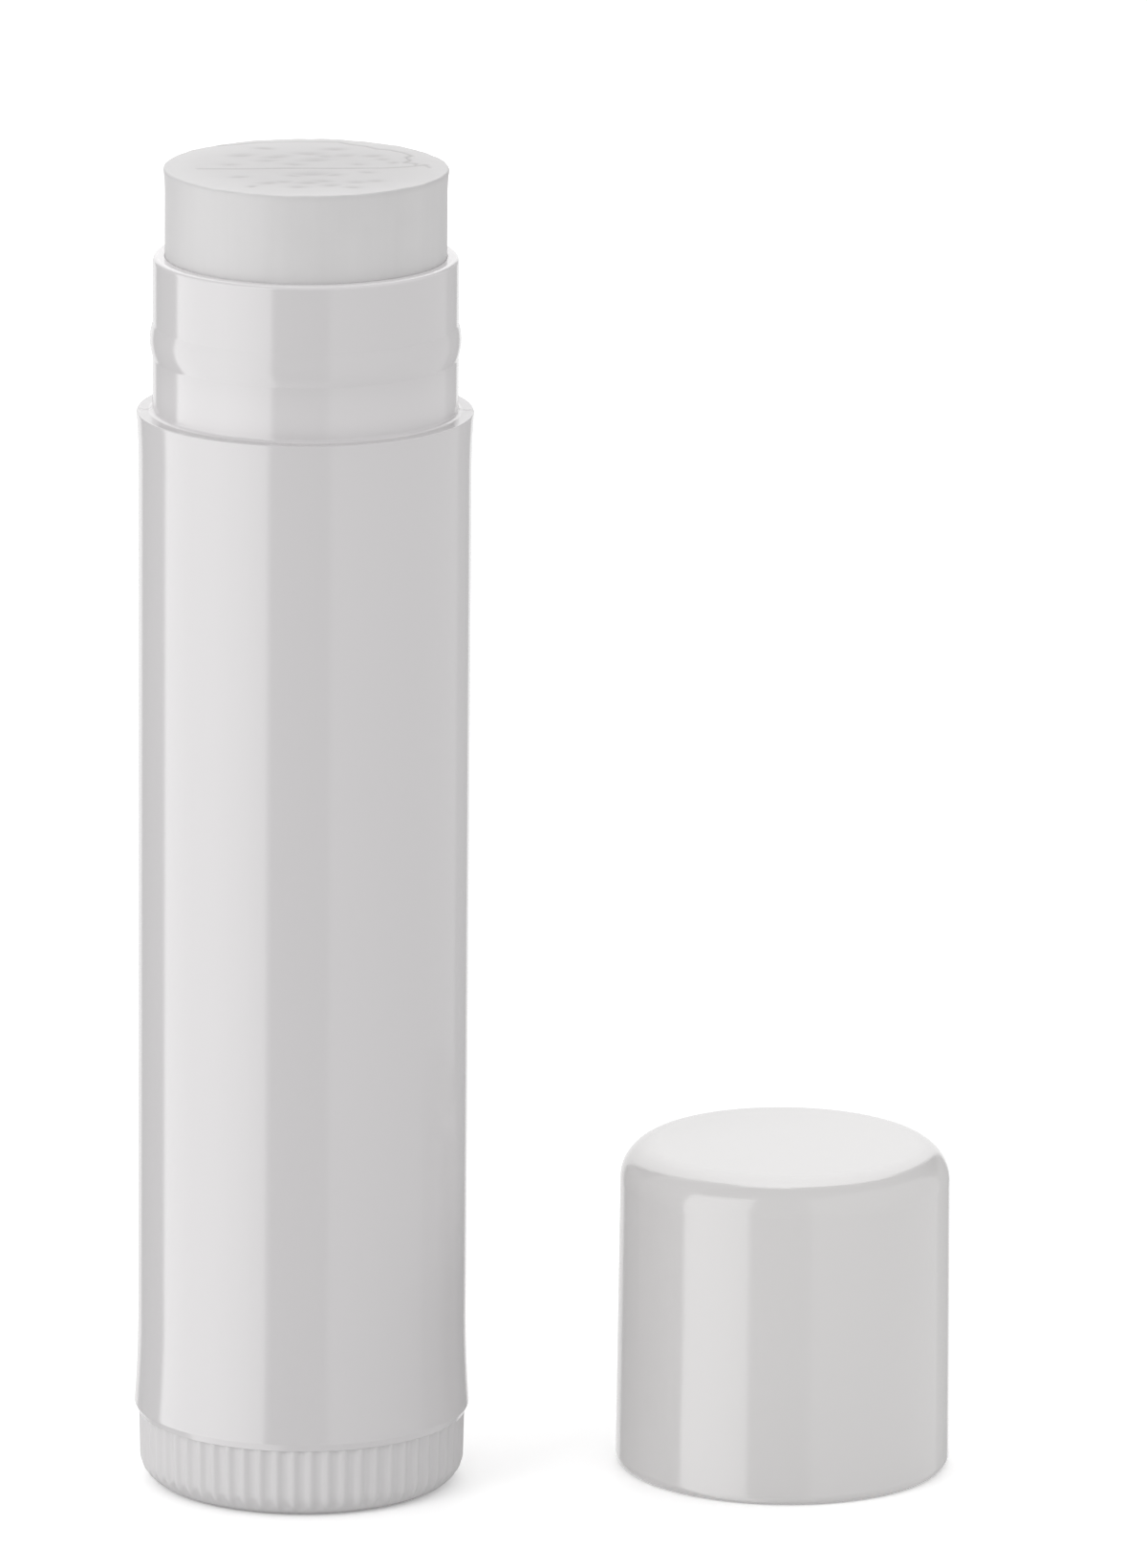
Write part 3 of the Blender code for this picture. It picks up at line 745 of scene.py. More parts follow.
def mark_painted_edge_light(mesh, bottom, ledge, rim, neck_radius):
    """Mark the barrel's mouth, the root of its neck and its foot for painted light: a painted highlight on
    the mouth, and lighter colour in place of the shade at the neck root and the foot.
    """
    points = read_points(mesh)
    height = points[:, 2]
    on_neck = np.hypot(points[:, 0], points[:, 1]) < neck_radius + ROOT_EDGE_WIDTH
    above_ledge = height > ledge - HOLDING_GAP
    mouth = np.clip(1 - (rim - height) / MOUTH_EDGE_DEPTH, 0, 1)
    root = np.clip(1 - (height - ledge) / ROOT_EDGE_DEPTH, 0, 1) * above_ledge * on_neck
    foot = np.clip(1 - (height - bottom) / FOOT_EDGE_DEPTH, 0, 1)
    store_mark(mesh, "thin_edge", np.maximum.reduce([mouth, root * ROOT_EDGE_SHARE, foot * FOOT_EDGE_SHARE]))


def start_nodes_tree(name, inputs):
    """A Geometry Nodes tree that shapes a turned blank, and the inputs as the nodes inside see them."""
    tree = bpy.data.node_groups.new(name, "GeometryNodeTree")
    sockets = {"Blank": "Geometry", **inputs, "Material": "Material"}
    return tree, add_sockets(tree, sockets, {"Geometry": "Geometry"})


def round_the_axis(tree):
    """Each point's X, Y and Z, and its distance and angle round the axis."""
    place = tree.nodes.new("GeometryNodeInputPosition")
    axes = new_node(tree, "ShaderNodeSeparateXYZ", {0: place.outputs[0]}).outputs
    level = new_node(tree, "ShaderNodeCombineXYZ", {"X": axes["X"], "Y": axes["Y"]})
    reach = new_node(tree, "ShaderNodeVectorMath", {0: level.outputs[0]}, operation="LENGTH").outputs["Value"]
    return axes, reach, maths(tree, "ARCTAN2", axes["Y"], axes["X"])


def end_nodes_tree(tree, given, x, y, z):
    """Move the blank's points to X, Y and Z, make it real and give it its material."""
    moved = new_node(tree, "ShaderNodeCombineXYZ", {"X": x, "Y": y, "Z": z})
    shaped = new_node(tree, "GeometryNodeSetPosition", {
        "Geometry": given["Blank"], "Position": moved.outputs[0]})
    real = new_node(tree, "GeometryNodeRealizeInstances", {0: shaped.outputs[0]})
    coated = new_node(tree, "GeometryNodeSetMaterial", {
        "Geometry": real.outputs[0], "Material": given["Material"]})
    new_node(tree, "NodeGroupOutput", {"Geometry": coated.outputs[0]})


def fluted_rim_tree():
    """Geometry Nodes tree that presses flutes into a turned rim, and lets them run out towards its foot."""
    tree, given = start_nodes_tree("fluted_rim", {
        "Flute Count": "Int", "Flute Depth": "Float", "Ridge Sharpness": "Float", "Inner Limit": "Float",
        "Foot Low": "Float", "Foot High": "Float", "Top": "Float"})
    calculated = functools.partial(maths, tree)
    axes, reach, angle = round_the_axis(tree)
    wave = calculated("COSINE", calculated("MULTIPLY", angle, given["Flute Count"]))
    swell = calculated("MULTIPLY_ADD", wave, -0.5, 0.5)
    ridge = calculated("POWER", swell, given["Ridge Sharpness"])
    dip = calculated("MULTIPLY", calculated("SUBTRACT", 1.0, ridge), given["Flute Depth"])
    grown = new_node(tree, "ShaderNodeMapRange", {
        "Value": axes["Z"], "From Min": given["Foot Low"], "From Max": given["Foot High"]},
        interpolation_type="SMOOTHSTEP")
    outside = calculated("GREATER_THAN", reach, given["Inner Limit"])
    below_top = calculated("LESS_THAN", axes["Z"], given["Top"])
    on_rim = calculated("MULTIPLY", outside, below_top)
    sunk = calculated("MULTIPLY", calculated("MULTIPLY", dip, grown.outputs[0]), on_rim)
    divisor = calculated("MAXIMUM", reach, SMALLEST_REACH)
    share = calculated("DIVIDE", calculated("SUBTRACT", reach, sunk), divisor)
    end_nodes_tree(tree, given, calculated("MULTIPLY", axes["X"], share),
                   calculated("MULTIPLY", axes["Y"], share), axes["Z"])
    return tree


def screw_thread_tree():
    """Geometry Nodes tree that raises a thread on a turned rod and twists it along the rod."""
    tree, given = start_nodes_tree("screw_thread", {
        "Lead": "Float", "Hand": "Int", "Core Radius": "Float", "Thread Height": "Float",
        "Crest Width": "Float", "Flank Width": "Float",
        "Bottom": "Float", "Top": "Float", "Run-out": "Float"})
    calculated = functools.partial(maths, tree)
    axes, reach, angle = round_the_axis(tree)
    turn_per_metre = calculated("DIVIDE", FULL_TURN, given["Lead"])
    twist_per_metre = calculated("MULTIPLY", turn_per_metre, given["Hand"])
    start_angle = calculated("MULTIPLY", given["Bottom"], twist_per_metre)
    above_bottom = calculated("SUBTRACT", axes["Z"], given["Bottom"])
    below_top = calculated("SUBTRACT", given["Top"], axes["Z"])
    from_crest = calculated("WRAP", calculated("SUBTRACT", angle, start_angle), FULL_TURN / 2, -FULL_TURN / 2)
    from_middle = calculated("DIVIDE", calculated("ABSOLUTE", from_crest), turn_per_metre)
    down_flank = calculated("SUBTRACT", from_middle, calculated("MULTIPLY", given["Crest Width"], 0.5))
    slope = calculated("SUBTRACT", 1.0, calculated("DIVIDE", down_flank, given["Flank Width"]))
    section = new_node(tree, "ShaderNodeClamp", {"Value": slope}).outputs[0]
    run_out = calculated("MINIMUM", calculated("DIVIDE", above_bottom, given["Run-out"]),
                         calculated("DIVIDE", below_top, given["Run-out"]))
    standing = new_node(tree, "ShaderNodeClamp", {"Value": run_out}).outputs[0]
    rise = calculated("MULTIPLY", calculated("MULTIPLY", section, standing), given["Thread Height"])
    on_core = calculated("COMPARE", reach, given["Core Radius"], CORE_TOLERANCE)
    new_reach = calculated("MULTIPLY_ADD", rise, on_core, reach)
    twist = calculated("MULTIPLY", calculated("MAXIMUM", above_bottom, 0.0), twist_per_metre)
    new_angle = calculated("ADD", angle, twist)
    end_nodes_tree(tree, given, calculated("MULTIPLY", new_reach, calculated("COSINE", new_angle)),
                   calculated("MULTIPLY", new_reach, calculated("SINE", new_angle)), axes["Z"])
    return tree


def add_nodes_modifier(piece, tree, values):
    """Give a piece a Geometry Nodes modifier, with its named inputs set by their identifiers."""
    step = piece.modifiers.new(tree.name, "NODES")
    step.node_group = tree
    for item in tree.interface.items_tree:
        if item.name in values:
            step[item.identifier] = values[item.name]


def from_route(x, y, route):
    """How far each place is from a route of straight stretches."""
    distance = np.full(x.shape, FAR_AWAY_MM)
    for (x0, y0), (x1, y1) in zip(route, route[1:]):
        squared_length = (x1 - x0) ** 2 + (y1 - y0) ** 2
        share = np.clip(((x - x0) * (x1 - x0) + (y - y0) * (y1 - y0)) / squared_length, 0, 1)
        distance = np.minimum(distance, np.hypot(x - x0 - share * (x1 - x0), y - y0 - share * (y1 - y0)))
    return distance


def dent_the_balm(mesh, top, depth_share):
    """Press the dents, cracks and uneven edge into the balm's top, and mark painted shade in the dents, the
    cracks and a patch of the top.
    """
    points = read_points(mesh)
    x = points[:, 0] / MILLIMETRE
    y = points[:, 1] / MILLIMETRE
    on_top = np.clip((points[:, 2] - (top - 2 * BALM_EDGE)) / BALM_EDGE, 0, 1)
    depth = np.zeros(len(points))
    marked = np.zeros(len(points))
    for dent_x, dent_y, half_length, half_width, turn, dent_depth in DENTS_MM:
        cosine, sine = math.cos(math.radians(turn)), math.sin(math.radians(turn))
        lengthwise = ((x - dent_x) * cosine + (y - dent_y) * sine) / (half_length * DENT_SPREAD)
        crosswise = ((y - dent_y) * cosine - (x - dent_x) * sine) / (half_width * DENT_SPREAD)
        pressed = np.exp(-(lengthwise ** 2 + crosswise ** 2))
        depth = np.maximum(depth, pressed * dent_depth)
        marked = np.maximum(marked, pressed * DENT_SHADE)
    for half_width, score_depth, route in SCORES_MM:
        pressed = np.exp(-(from_route(x, y, route) / half_width) ** 2)
        depth = np.maximum(depth, pressed * score_depth)
        marked = np.maximum(marked, pressed * SCORE_SHADE)
    # Painted shade: darkens most of the balm's top, leaving its edge lighter
    patch_x, patch_y, patch_length, patch_width, patch_shade = SHADED_PATCH_MM
    from_patch = ((x - patch_x) / patch_length) ** 2 + ((y - patch_y) / patch_width) ** 2
    top_shade = np.exp(-from_patch ** 2) * patch_shade
    marked = top_shade + marked * (1 - top_shade)
    angle = np.arctan2(y, x)
    sag = sum(wave_depth * (1 + np.sin(waves * angle + phase)) for wave_depth, waves, phase in EDGE_SAG_MM)
    from_edge = BALM_HIGH.x / MILLIMETRE - np.hypot(x, y)
    depth = depth * depth_share + sag * np.clip(1 - from_edge / EDGE_SAG_WIDTH_MM, 0, 1)
    points[:, 2] -= on_top * depth * MILLIMETRE
    move_points(mesh, points)
    store_mark(mesh, "dent", marked * on_top)


def barrel_radii():
    """Radii of the barrel's body, neck and bore."""
    body = bpy.context.scene.lip_balm_barrel.foot_radius - FOOT_FLARE
    neck = body - NECK_STEP
    return body, neck, neck - NECK_WALL


class LIPBALM_OT_make_barrel(bpy.types.Operator):
    """Make the barrel: body, ledge, neck with its snap bead, and the bore with its guide ribs"""

    bl_idname = "lip_balm.make_barrel"
    bl_label = "Make Barrel"

    def execute(self, context):
        sizes = context.scene.lip_balm_barrel
        foot_radius, bottom, rim = sizes.foot_radius, sizes.bottom, sizes.rim
        body_radius, neck_radius, bore_radius = barrel_radii()
        ledge_radius = body_radius + LEDGE_FLARE
        ledge = bottom + LEDGE_ABOVE_BOTTOM
        foot = rounded([
            (bore_radius, bottom, 0),
            (foot_radius - FOOT_CHAMFER_WIDTH, bottom, FOOT_ROUNDING),
            (foot_radius, bottom + FOOT_CHAMFER_HEIGHT, FOOT_BROW_ROUNDING),
            (foot_radius - FOOT_FLARE / 3, bottom + FOOT_FLARE_LENGTH / 4, 0),
        ])[:-1]
        shoulder = rounded([
            (ledge_radius, ledge - LEDGE_FLARE_LENGTH / 8, 0),
            (ledge_radius, ledge, LEDGE_ROUNDING),
            (neck_radius, ledge, NECK_ROOT_ROUNDING),
            (neck_radius, ledge + BEAD_CENTRE / 2, 0),
        ])[1:-1]
        mouth = rounded([
            (neck_radius, rim - 4 * NECK_RIM_ROUNDING, 0),
            (neck_radius, rim, NECK_RIM_ROUNDING),
            (bore_radius - NECK_LIP, rim, NECK_LIP_ROUNDING),
            (bore_radius - NECK_LIP, rim - NECK_LIP_HEIGHT / 2, 0),
            (bore_radius, rim - NECK_LIP_HEIGHT, 0),
        ])[1:]
        foot_flare = flare(foot_radius, body_radius, bottom + FOOT_CHAMFER_HEIGHT + FOOT_BROW_ROUNDING,
                           bottom + FOOT_FLARE_LENGTH, FOOT_FLARE_PARTS)
        ledge_flare = flare(ledge_radius, body_radius, ledge - LEDGE_ROUNDING - HOLDING_GAP,
                            ledge - LEDGE_FLARE_LENGTH, TOP_FLARE_PARTS)[::-1]
        bead = round_bead(neck_radius, ledge + BEAD_CENTRE, BEAD_HEIGHT, sizes.bead_proud, BEAD_PARTS)
        groove_half = SOCKET_GROOVE_HEIGHT / 2
        groove_radius = bore_radius + SOCKET_GROOVE_DEPTH
        groove = [
            (bore_radius, SOCKET_GROOVE_CENTRE + groove_half),
            (groove_radius, SOCKET_GROOVE_CENTRE + groove_half - SOCKET_GROOVE_DEPTH),
            (groove_radius, SOCKET_GROOVE_CENTRE - groove_half + SOCKET_GROOVE_DEPTH),
            (bore_radius, SOCKET_GROOVE_CENTRE - groove_half),
        ]
        outline = [*foot, *foot_flare, *ledge_flare, *shoulder, *bead, *mouth, *groove]
        angles = even_angles(COLUMNS)
        for side in (0, 180):
            angles += [math.radians((side + degrees) % 360) for degrees in PARTING_LINE_DEGREES]
        mesh = turned_mesh("moulded_barrel", held(outline), sorted(angles))
        add_parting_lines(mesh, bottom, rim)
        # Painted light on the mouth, neck root and foot
        mark_painted_edge_light(mesh, bottom, ledge, rim, neck_radius)
        barrel = new_piece("moulded_barrel", mesh, gloss_plastic())
        for rib in guide_tools("guide_rib", bore_radius - GUIDE_RIB_HEIGHT, bore_radius + NECK_WALL / 2,
                               GUIDE_RIB_WIDTH / 2, GUIDE_RIB_BOTTOM, GUIDE_RIB_TOP):
            combine(barrel, rib, "UNION")
        bake_modifiers(barrel)
        finish_piece(barrel, "barrel", "barrel")
        return {"FINISHED"}


class LIPBALM_OT_make_wheel(bpy.types.Operator):
    """Make the thumb wheel: the ribbed rim by Geometry Nodes, with its plug, boss and socket"""

    bl_idname = "lip_balm.make_wheel"
    bl_label = "Make Thumb Wheel"

    def execute(self, context):
        sizes = context.scene.lip_balm_wheel
        body_radius, _, bore_radius = barrel_radii()
        rim_radius = body_radius - WHEEL_STEP
        foot_radius = rim_radius - WHEEL_DRAFT
        plug_radius = bore_radius - PLUG_CLEARANCE
        boss_radius = PEG_RADIUS + PEG_CLEARANCE + BOSS_WALL
        side_top = sizes.top - 2 * WHEEL_TOP_ROUNDING
        edge = []
        for part in range(WHEEL_EDGE_PARTS):
            turn = math.pi / 2 * part / WHEEL_EDGE_PARTS
            edge.append((foot_radius - WHEEL_EDGE_RADIUS * (1 - math.sin(turn)),
                         WHEEL_EDGE_RADIUS * (1 - math.cos(turn))))
        side = straight((foot_radius, WHEEL_EDGE_RADIUS), (rim_radius, side_top), WHEEL_SIDE_PARTS)
        rim_top = rounded([
            (rim_radius, side_top, 0),
            (rim_radius, sizes.top, WHEEL_TOP_ROUNDING),
            (plug_radius, sizes.top, 0),
        ])[1:]
        snap_half = SNAP_HEIGHT / 2
        snap = [
            (plug_radius, SOCKET_GROOVE_CENTRE - snap_half),
            (plug_radius + SNAP_SLOPE, SOCKET_GROOVE_CENTRE - snap_half + SNAP_SLOPE),
            (plug_radius + SNAP_SLOPE, SOCKET_GROOVE_CENTRE + snap_half - SNAP_SLOPE),
            (plug_radius, SOCKET_GROOVE_CENTRE + snap_half),
        ]
        plug_tip = rounded([
            (plug_radius, WHEEL_HIGH.z - 4 * PLUG_TIP_ROUNDING, 0),
            (plug_radius, WHEEL_HIGH.z, PLUG_TIP_ROUNDING),
            (plug_radius - PLUG_WALL, WHEEL_HIGH.z, 0),
        ])[1:]
        boss = [
            (plug_radius - PLUG_WALL, WHEEL_FLOOR),
            (boss_radius, WHEEL_FLOOR),
            (boss_radius, BOSS_TOP),
            (0, BOSS_TOP),
        ]
        outline = [(0, 0), *edge, *side, *rim_top, *snap, *plug_tip, *boss]
        angles = even_angles(sizes.flute_count * WHEEL_COLUMNS_PER_FLUTE)
        wheel = new_piece("ribbed_wheel", turned_mesh("ribbed_wheel", held(outline), angles), satin_plastic())
        add_nodes_modifier(wheel, fluted_rim_tree(), {
            "Flute Count": sizes.flute_count, "Flute Depth": sizes.flute_depth,
            "Ridge Sharpness": FLUTE_SHARPNESS, "Inner Limit": rim_radius - FLUTE_REACH,
            "Foot Low": FLUTE_FOOT_LOW, "Foot High": FLUTE_FOOT_HIGH, "Top": sizes.top + WHEEL_GAP,
            "Material": satin_plastic()})
        socket = prism_tool("peg_socket", PEG_RADIUS + PEG_CLEARANCE, BOSS_TOP - SOCKET_DEPTH,
                            BOSS_TOP + OVERRUN)
        combine(wheel, socket, "DIFFERENCE")
        bake_modifiers(wheel)
        finish_piece(wheel, "thumb_wheel", "wheel")
        return {"FINISHED"}


class LIPBALM_OT_make_spindle(bpy.types.Operator):
    """Make the spindle: the long screw by Geometry Nodes, with its flange and six-sided peg"""

    bl_idname = "lip_balm.make_spindle"
    bl_label = "Make Spindle"

    def execute(self, context):
        sizes = context.scene.lip_balm_wheel
        flange_bottom = SPINDLE_LOW.z + PEG_LENGTH
        flange_top = flange_bottom + FLANGE_THICKNESS
        thread_bottom = flange_top + SHANK_LENGTH
        thread_top = SPINDLE_HIGH.z - SPINDLE_TIP_CHAMFER
        rows = math.ceil((thread_top - thread_bottom) / sizes.lead * THREAD_ROWS_PER_TURN)
        outline = [
            (0, flange_bottom),
            (FLANGE_RADIUS, flange_bottom),
            (FLANGE_RADIUS, flange_top),
            (SPINDLE_CORE_RADIUS, flange_top),
            *straight((SPINDLE_CORE_RADIUS, thread_bottom), (SPINDLE_CORE_RADIUS, thread_top), rows),
            (SPINDLE_CORE_RADIUS - SPINDLE_TIP_CHAMFER, SPINDLE_HIGH.z),
            (0, SPINDLE_HIGH.z),
        ]
        mesh = turned_mesh("threaded_spindle", outline, even_angles(SPINDLE_COLUMNS))
        spindle = new_piece("threaded_spindle", mesh, satin_plastic())
        add_nodes_modifier(spindle, screw_thread_tree(), {
            "Lead": sizes.lead, "Hand": SCREW_HAND, "Core Radius": SPINDLE_CORE_RADIUS,
            "Thread Height": sizes.thread_height, "Crest Width": THREAD_CREST_WIDTH,
            "Flank Width": THREAD_FLANK_WIDTH, "Bottom": thread_bottom, "Top": thread_top,
            "Run-out": sizes.lead * THREAD_RUNOUT_SHARE, "Material": satin_plastic()})
        peg = prism_tool("peg", PEG_RADIUS, SPINDLE_LOW.z, flange_bottom + FLANGE_THICKNESS / 2)
        combine(spindle, peg, "UNION")
        bake_modifiers(spindle)
        finish_piece(spindle, "spindle", "wheel")
        return {"FINISHED"}


class LIPBALM_OT_coat_elevator_cup(bpy.types.Operator):
    """Give the elevator cup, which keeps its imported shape, its satin plastic"""

    bl_idname = "lip_balm.coat_elevator_cup"
    bl_label = "Coat Elevator Cup"

    def execute(self, context):
        set_only_material(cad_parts["elevator_cup"].data, satin_plastic())
        return {"FINISHED"}


class LIPBALM_OT_make_balm(bpy.types.Operator):
    """Make the balm: the flared stick with its dented top, its bore and its grooves for the guide ribs"""

    bl_idname = "lip_balm.make_balm"
    bl_label = "Make Balm"

    def execute(self, context):
        sizes = context.scene.lip_balm_balm
        _, _, bore_radius = barrel_radii()
        radius = bore_radius - BALM_CLEARANCE
        flare_radius = radius + BALM_FLARE
        flare_bottom = sizes.top - BALM_FLARE_LENGTH
        notch_radius = bore_radius - GUIDE_RIB_HEIGHT - GUIDE_CLEARANCE
        foot_radius = notch_radius - CUP_NOTCH_WALL - SEAT_GAP
        shoulder = CUP_HIGH.z + SEAT_GAP
        hub_hole_radius = HUB_RADIUS + SEAT_GAP
        hub_hole_top = CUP_LOW.z + HUB_TOP + SEAT_GAP
        side = straight((radius, shoulder), (radius, flare_bottom), BALM_SIDE_PARTS)[:-1]
        top_flare = flare(flare_radius, radius, sizes.top - BALM_EDGE - HOLDING_GAP, flare_bottom,
                          TOP_FLARE_PARTS)[::-1]
        rim = rounded([
            (flare_radius, sizes.top - 2 * BALM_EDGE, 0),
            (flare_radius, sizes.top, BALM_EDGE),
            (flare_radius - 2 * BALM_EDGE, sizes.top, 0),
        ])[1:]
        rings = straight((rim[-1][0], sizes.top), (0, sizes.top), BALM_TOP_RINGS)[1:]
        outline = [
            (hub_hole_radius, BALM_LOW.z),
            (foot_radius, BALM_LOW.z),
            (foot_radius, shoulder),
            *side,
            *top_flare,
            *rim,
            *rings,
            (0, BALM_BORE_TOP),
            (BALM_BORE_RADIUS, BALM_BORE_TOP),
            (BALM_BORE_RADIUS, hub_hole_top),
            (hub_hole_radius, hub_hole_top),
        ]
        mesh = turned_mesh("balm_stick", outline, even_angles(BALM_COLUMNS))
        dent_the_balm(mesh, sizes.top, sizes.dent_depth)
        balm = new_piece("balm_stick", mesh, balm_wax())
        raised = BALM_LOW.z - CUP_FLOOR - SEAT_GAP - WHEEL_HIGH.z
        for groove in guide_tools("rib_groove", notch_radius, bore_radius + OVERRUN,
                                  GUIDE_RIB_WIDTH / 2 + GUIDE_CLEARANCE, shoulder - OVERRUN,
                                  GUIDE_RIB_TOP + raised):
            combine(balm, groove, "DIFFERENCE")
        bake_modifiers(balm)
        finish_piece(balm, "balm", "carrier")
        return {"FINISHED"}


class LIPBALM_OT_make_cap(bpy.types.Operator):
    """Make the cap: rounded top edge, slightly flaring side and the inner snap ring"""

    bl_idname = "lip_balm.make_cap"
    bl_label = "Make Cap"

    def execute(self, context):
        sizes = context.scene.lip_balm_cap
        mouth = sizes.lip_radius - CAP_LIP_WALL
        ceiling = sizes.height - CAP_TOP_WALL
        ring_half = CAP_RING_HEIGHT / 2
        outer = rounded([
            (mouth + CAP_MOUTH_CHAMFER, 0, 0),
            (sizes.lip_radius, 0, CAP_LIP_ROUNDING),
            (sizes.lip_radius - CAP_SIDE_DRAFT, sizes.height, sizes.top_rounding),
            (0, sizes.height, 0),
        ])
        inner = rounded([
            (0, ceiling, 0),
            (mouth - CAP_BORE_DRAFT, ceiling, CAP_CORNER_ROUNDING),
            (mouth, CAP_RING_CENTRE + ring_half, 0),
        ])
        outline = [
            *outer,
            *inner,
            (mouth - CAP_RING_PROUD, CAP_RING_CENTRE + ring_half - CAP_RING_SLOPE),
            (mouth - CAP_RING_PROUD, CAP_RING_CENTRE - ring_half + CAP_RING_SLOPE),
            (mouth, CAP_RING_CENTRE - ring_half),
            (mouth, CAP_MOUTH_CHAMFER),
        ]
        mesh = turned_mesh("moulded_cap", held(outline), even_angles(COLUMNS))
        mesh.transform(Matrix.Translation((CAP_CENTRE.x, CAP_CENTRE.y, CAP_LOW.z)))
        finish_piece(new_piece("moulded_cap", mesh, cap_plastic()), "cap", "cap")
        return {"FINISHED"}


# Stage: azimuths run from the camera's side towards +X, elevations up from the horizon, both in degrees
FLOOR_HALF_WIDTH = 3.0
DOME_RADIUS = 1.6
DOME_AZIMUTH_STEP = 1.5
DOME_ELEVATION_STEP = 3.0
SIDE_EDGE_SOFTNESS = 1.5
TOP_EDGE_SOFTNESS = 7.0

# Soft lights, and grey cards between them and the bright back: brightness and upper edge, each by azimuth
LEFT_LIGHT = ((-114, 3.25), (-90, 3.5), (-65, 3.9), (-45, 3.5), (-33, 3.0), (-25.5, 2.8))
LEFT_LIGHT_TOP = ((-114, 22), (-79, 33), (-51, 42), (-25.5, 50))
RIGHT_LIGHT = ((17.5, 0.78), (40, 0.75), (105, 0.82), (132.5, 0.78))
RIGHT_LIGHT_TOP = ((17.5, 49), (54, 54), (83, 49), (106, 37), (121, 27), (132.5, 10))
LEFT_CARD = ((-155, 0.44), (-114, 0.40))
LEFT_CARD_TOP = ((-155, 10), (-114, 22))
RIGHT_CARD = ((132.5, 0.42), (161, 0.42))
RIGHT_CARD_TOP = ((132.5, 10), (161, 10))
PANELS = (
    (LEFT_LIGHT, LEFT_LIGHT_TOP),
    (RIGHT_LIGHT, RIGHT_LIGHT_TOP),
    (LEFT_CARD, LEFT_CARD_TOP),
    (RIGHT_CARD, RIGHT_CARD_TOP),
)

# Share of the lights and cards that is left, by elevation
LOW_DIMMING = ((-90, 0.6), (-60, 0.7), (-36, 1.0), (90, 1.0))

# Bright back and ceiling, by elevation: the azimuths where they begin on each side, and their brightness
BACK_LEFT = (
    (-90, -155), (0, -155), (14, -146), (28, -135), (41, -128), (53, -121), (68, -113), (79, -105),
    (90, -100))
BACK_RIGHT = (
    (-90, 161), (0, 161), (15, 155), (30, 147), (42, 138), (57, 121), (69, 114), (80, 111), (90, 108))
BACK_GLOW = (
    (-90, 0.7), (-26, 0.8), (-18, 1.02), (-10, 1.08), (5, 1.15), (14, 1.38), (24, 1.8), (34, 2.2), (54, 3.5),
    (74, 4.9), (90, 5.8))

# Floor as the plastic mirrors it, and the grey post under it: where the floor begins, how softly, how bright
FLOOR_EDGE = -32
FLOOR_EDGE_SOFTNESS = 12
FLOOR_GLOW = 0.75
FOOT_POST_RADIUS = 0.0077
FOOT_POST_DEPTH = 0.0300
FOOT_POST_GLOW = 0.45
FOOT_POST_COLUMNS = 64

# Soft lamps: name, azimuth, elevation
LAMPS = (("key_lamp", -45, 30), ("back_lamp", 180, 40), ("right_lamp", 95, 15))
LAMP_DISTANCE = 1.2
LAMP_SIZE = 0.5

# Camera: its place, and how far it is turned towards +X, tipped down and rolled, in radians
CAMERA_PLACE = (-0.001988, -0.7330, 0.2165)
CAMERA_YAW = 0.0205
CAMERA_PITCH = 0.2429
CAMERA_ROLL = 0.0080
CAMERA_LENS = 358.2
SENSOR_SIZE = 36.0


def towards(azimuth, elevation):
    """The direction, or directions, at an azimuth and elevation in degrees."""
    turn, rise = np.radians(azimuth), np.radians(elevation)
    return np.stack((np.cos(rise) * np.sin(turn), -np.cos(rise) * np.cos(turn), np.sin(rise)), axis=-1)


def in_table(table, place):
    """The value at a place in a table of (place, value) rows."""
    places, values = zip(*table)
    return np.interp(place, places, values)


def soft_step(distance, softness):
    """0 well before an edge and 1 well past it, with a straight ramp across it."""
    return np.clip(distance / softness + 0.5, 0, 1)


def light_panel(azimuth, elevation, brightness, upper_edge):
    """How bright a soft light or card is in each direction."""
    first, last = brightness[0][0], brightness[-1][0]
    inside = soft_step(azimuth - first, SIDE_EDGE_SOFTNESS) * soft_step(last - azimuth, SIDE_EDGE_SOFTNESS)
    below = soft_step(in_table(upper_edge, azimuth) - elevation, TOP_EDGE_SOFTNESS)
    return inside * below * in_table(brightness, azimuth)


def studio_glow(azimuth, elevation):
    """How bright the studio is in each direction; it is dark between its lights, cards, back and floor."""
    glow = np.maximum.reduce([light_panel(azimuth, elevation, *panel) for panel in PANELS])
    glow *= in_table(LOW_DIMMING, elevation)
    back = np.maximum(soft_step(in_table(BACK_LEFT, elevation) - azimuth, SIDE_EDGE_SOFTNESS),
                      soft_step(azimuth - in_table(BACK_RIGHT, elevation), SIDE_EDGE_SOFTNESS))
    glow += back * (in_table(BACK_GLOW, elevation) - glow)
    floor = soft_step(FLOOR_EDGE - elevation, FLOOR_EDGE_SOFTNESS)
    return glow + floor * np.maximum(FLOOR_GLOW - glow, 0)


def empty_tree(owner):
    """The node tree of a material or world, without its usual nodes."""
    owner.use_nodes = True
    owner.node_tree.nodes.clear()
    return owner.node_tree


def white_light(tree, kind, strength):
    """The output of a white Emission or Background node."""
    return new_node(tree, kind, {"Color": (1, 1, 1, 1), "Strength": strength}).outputs[0]


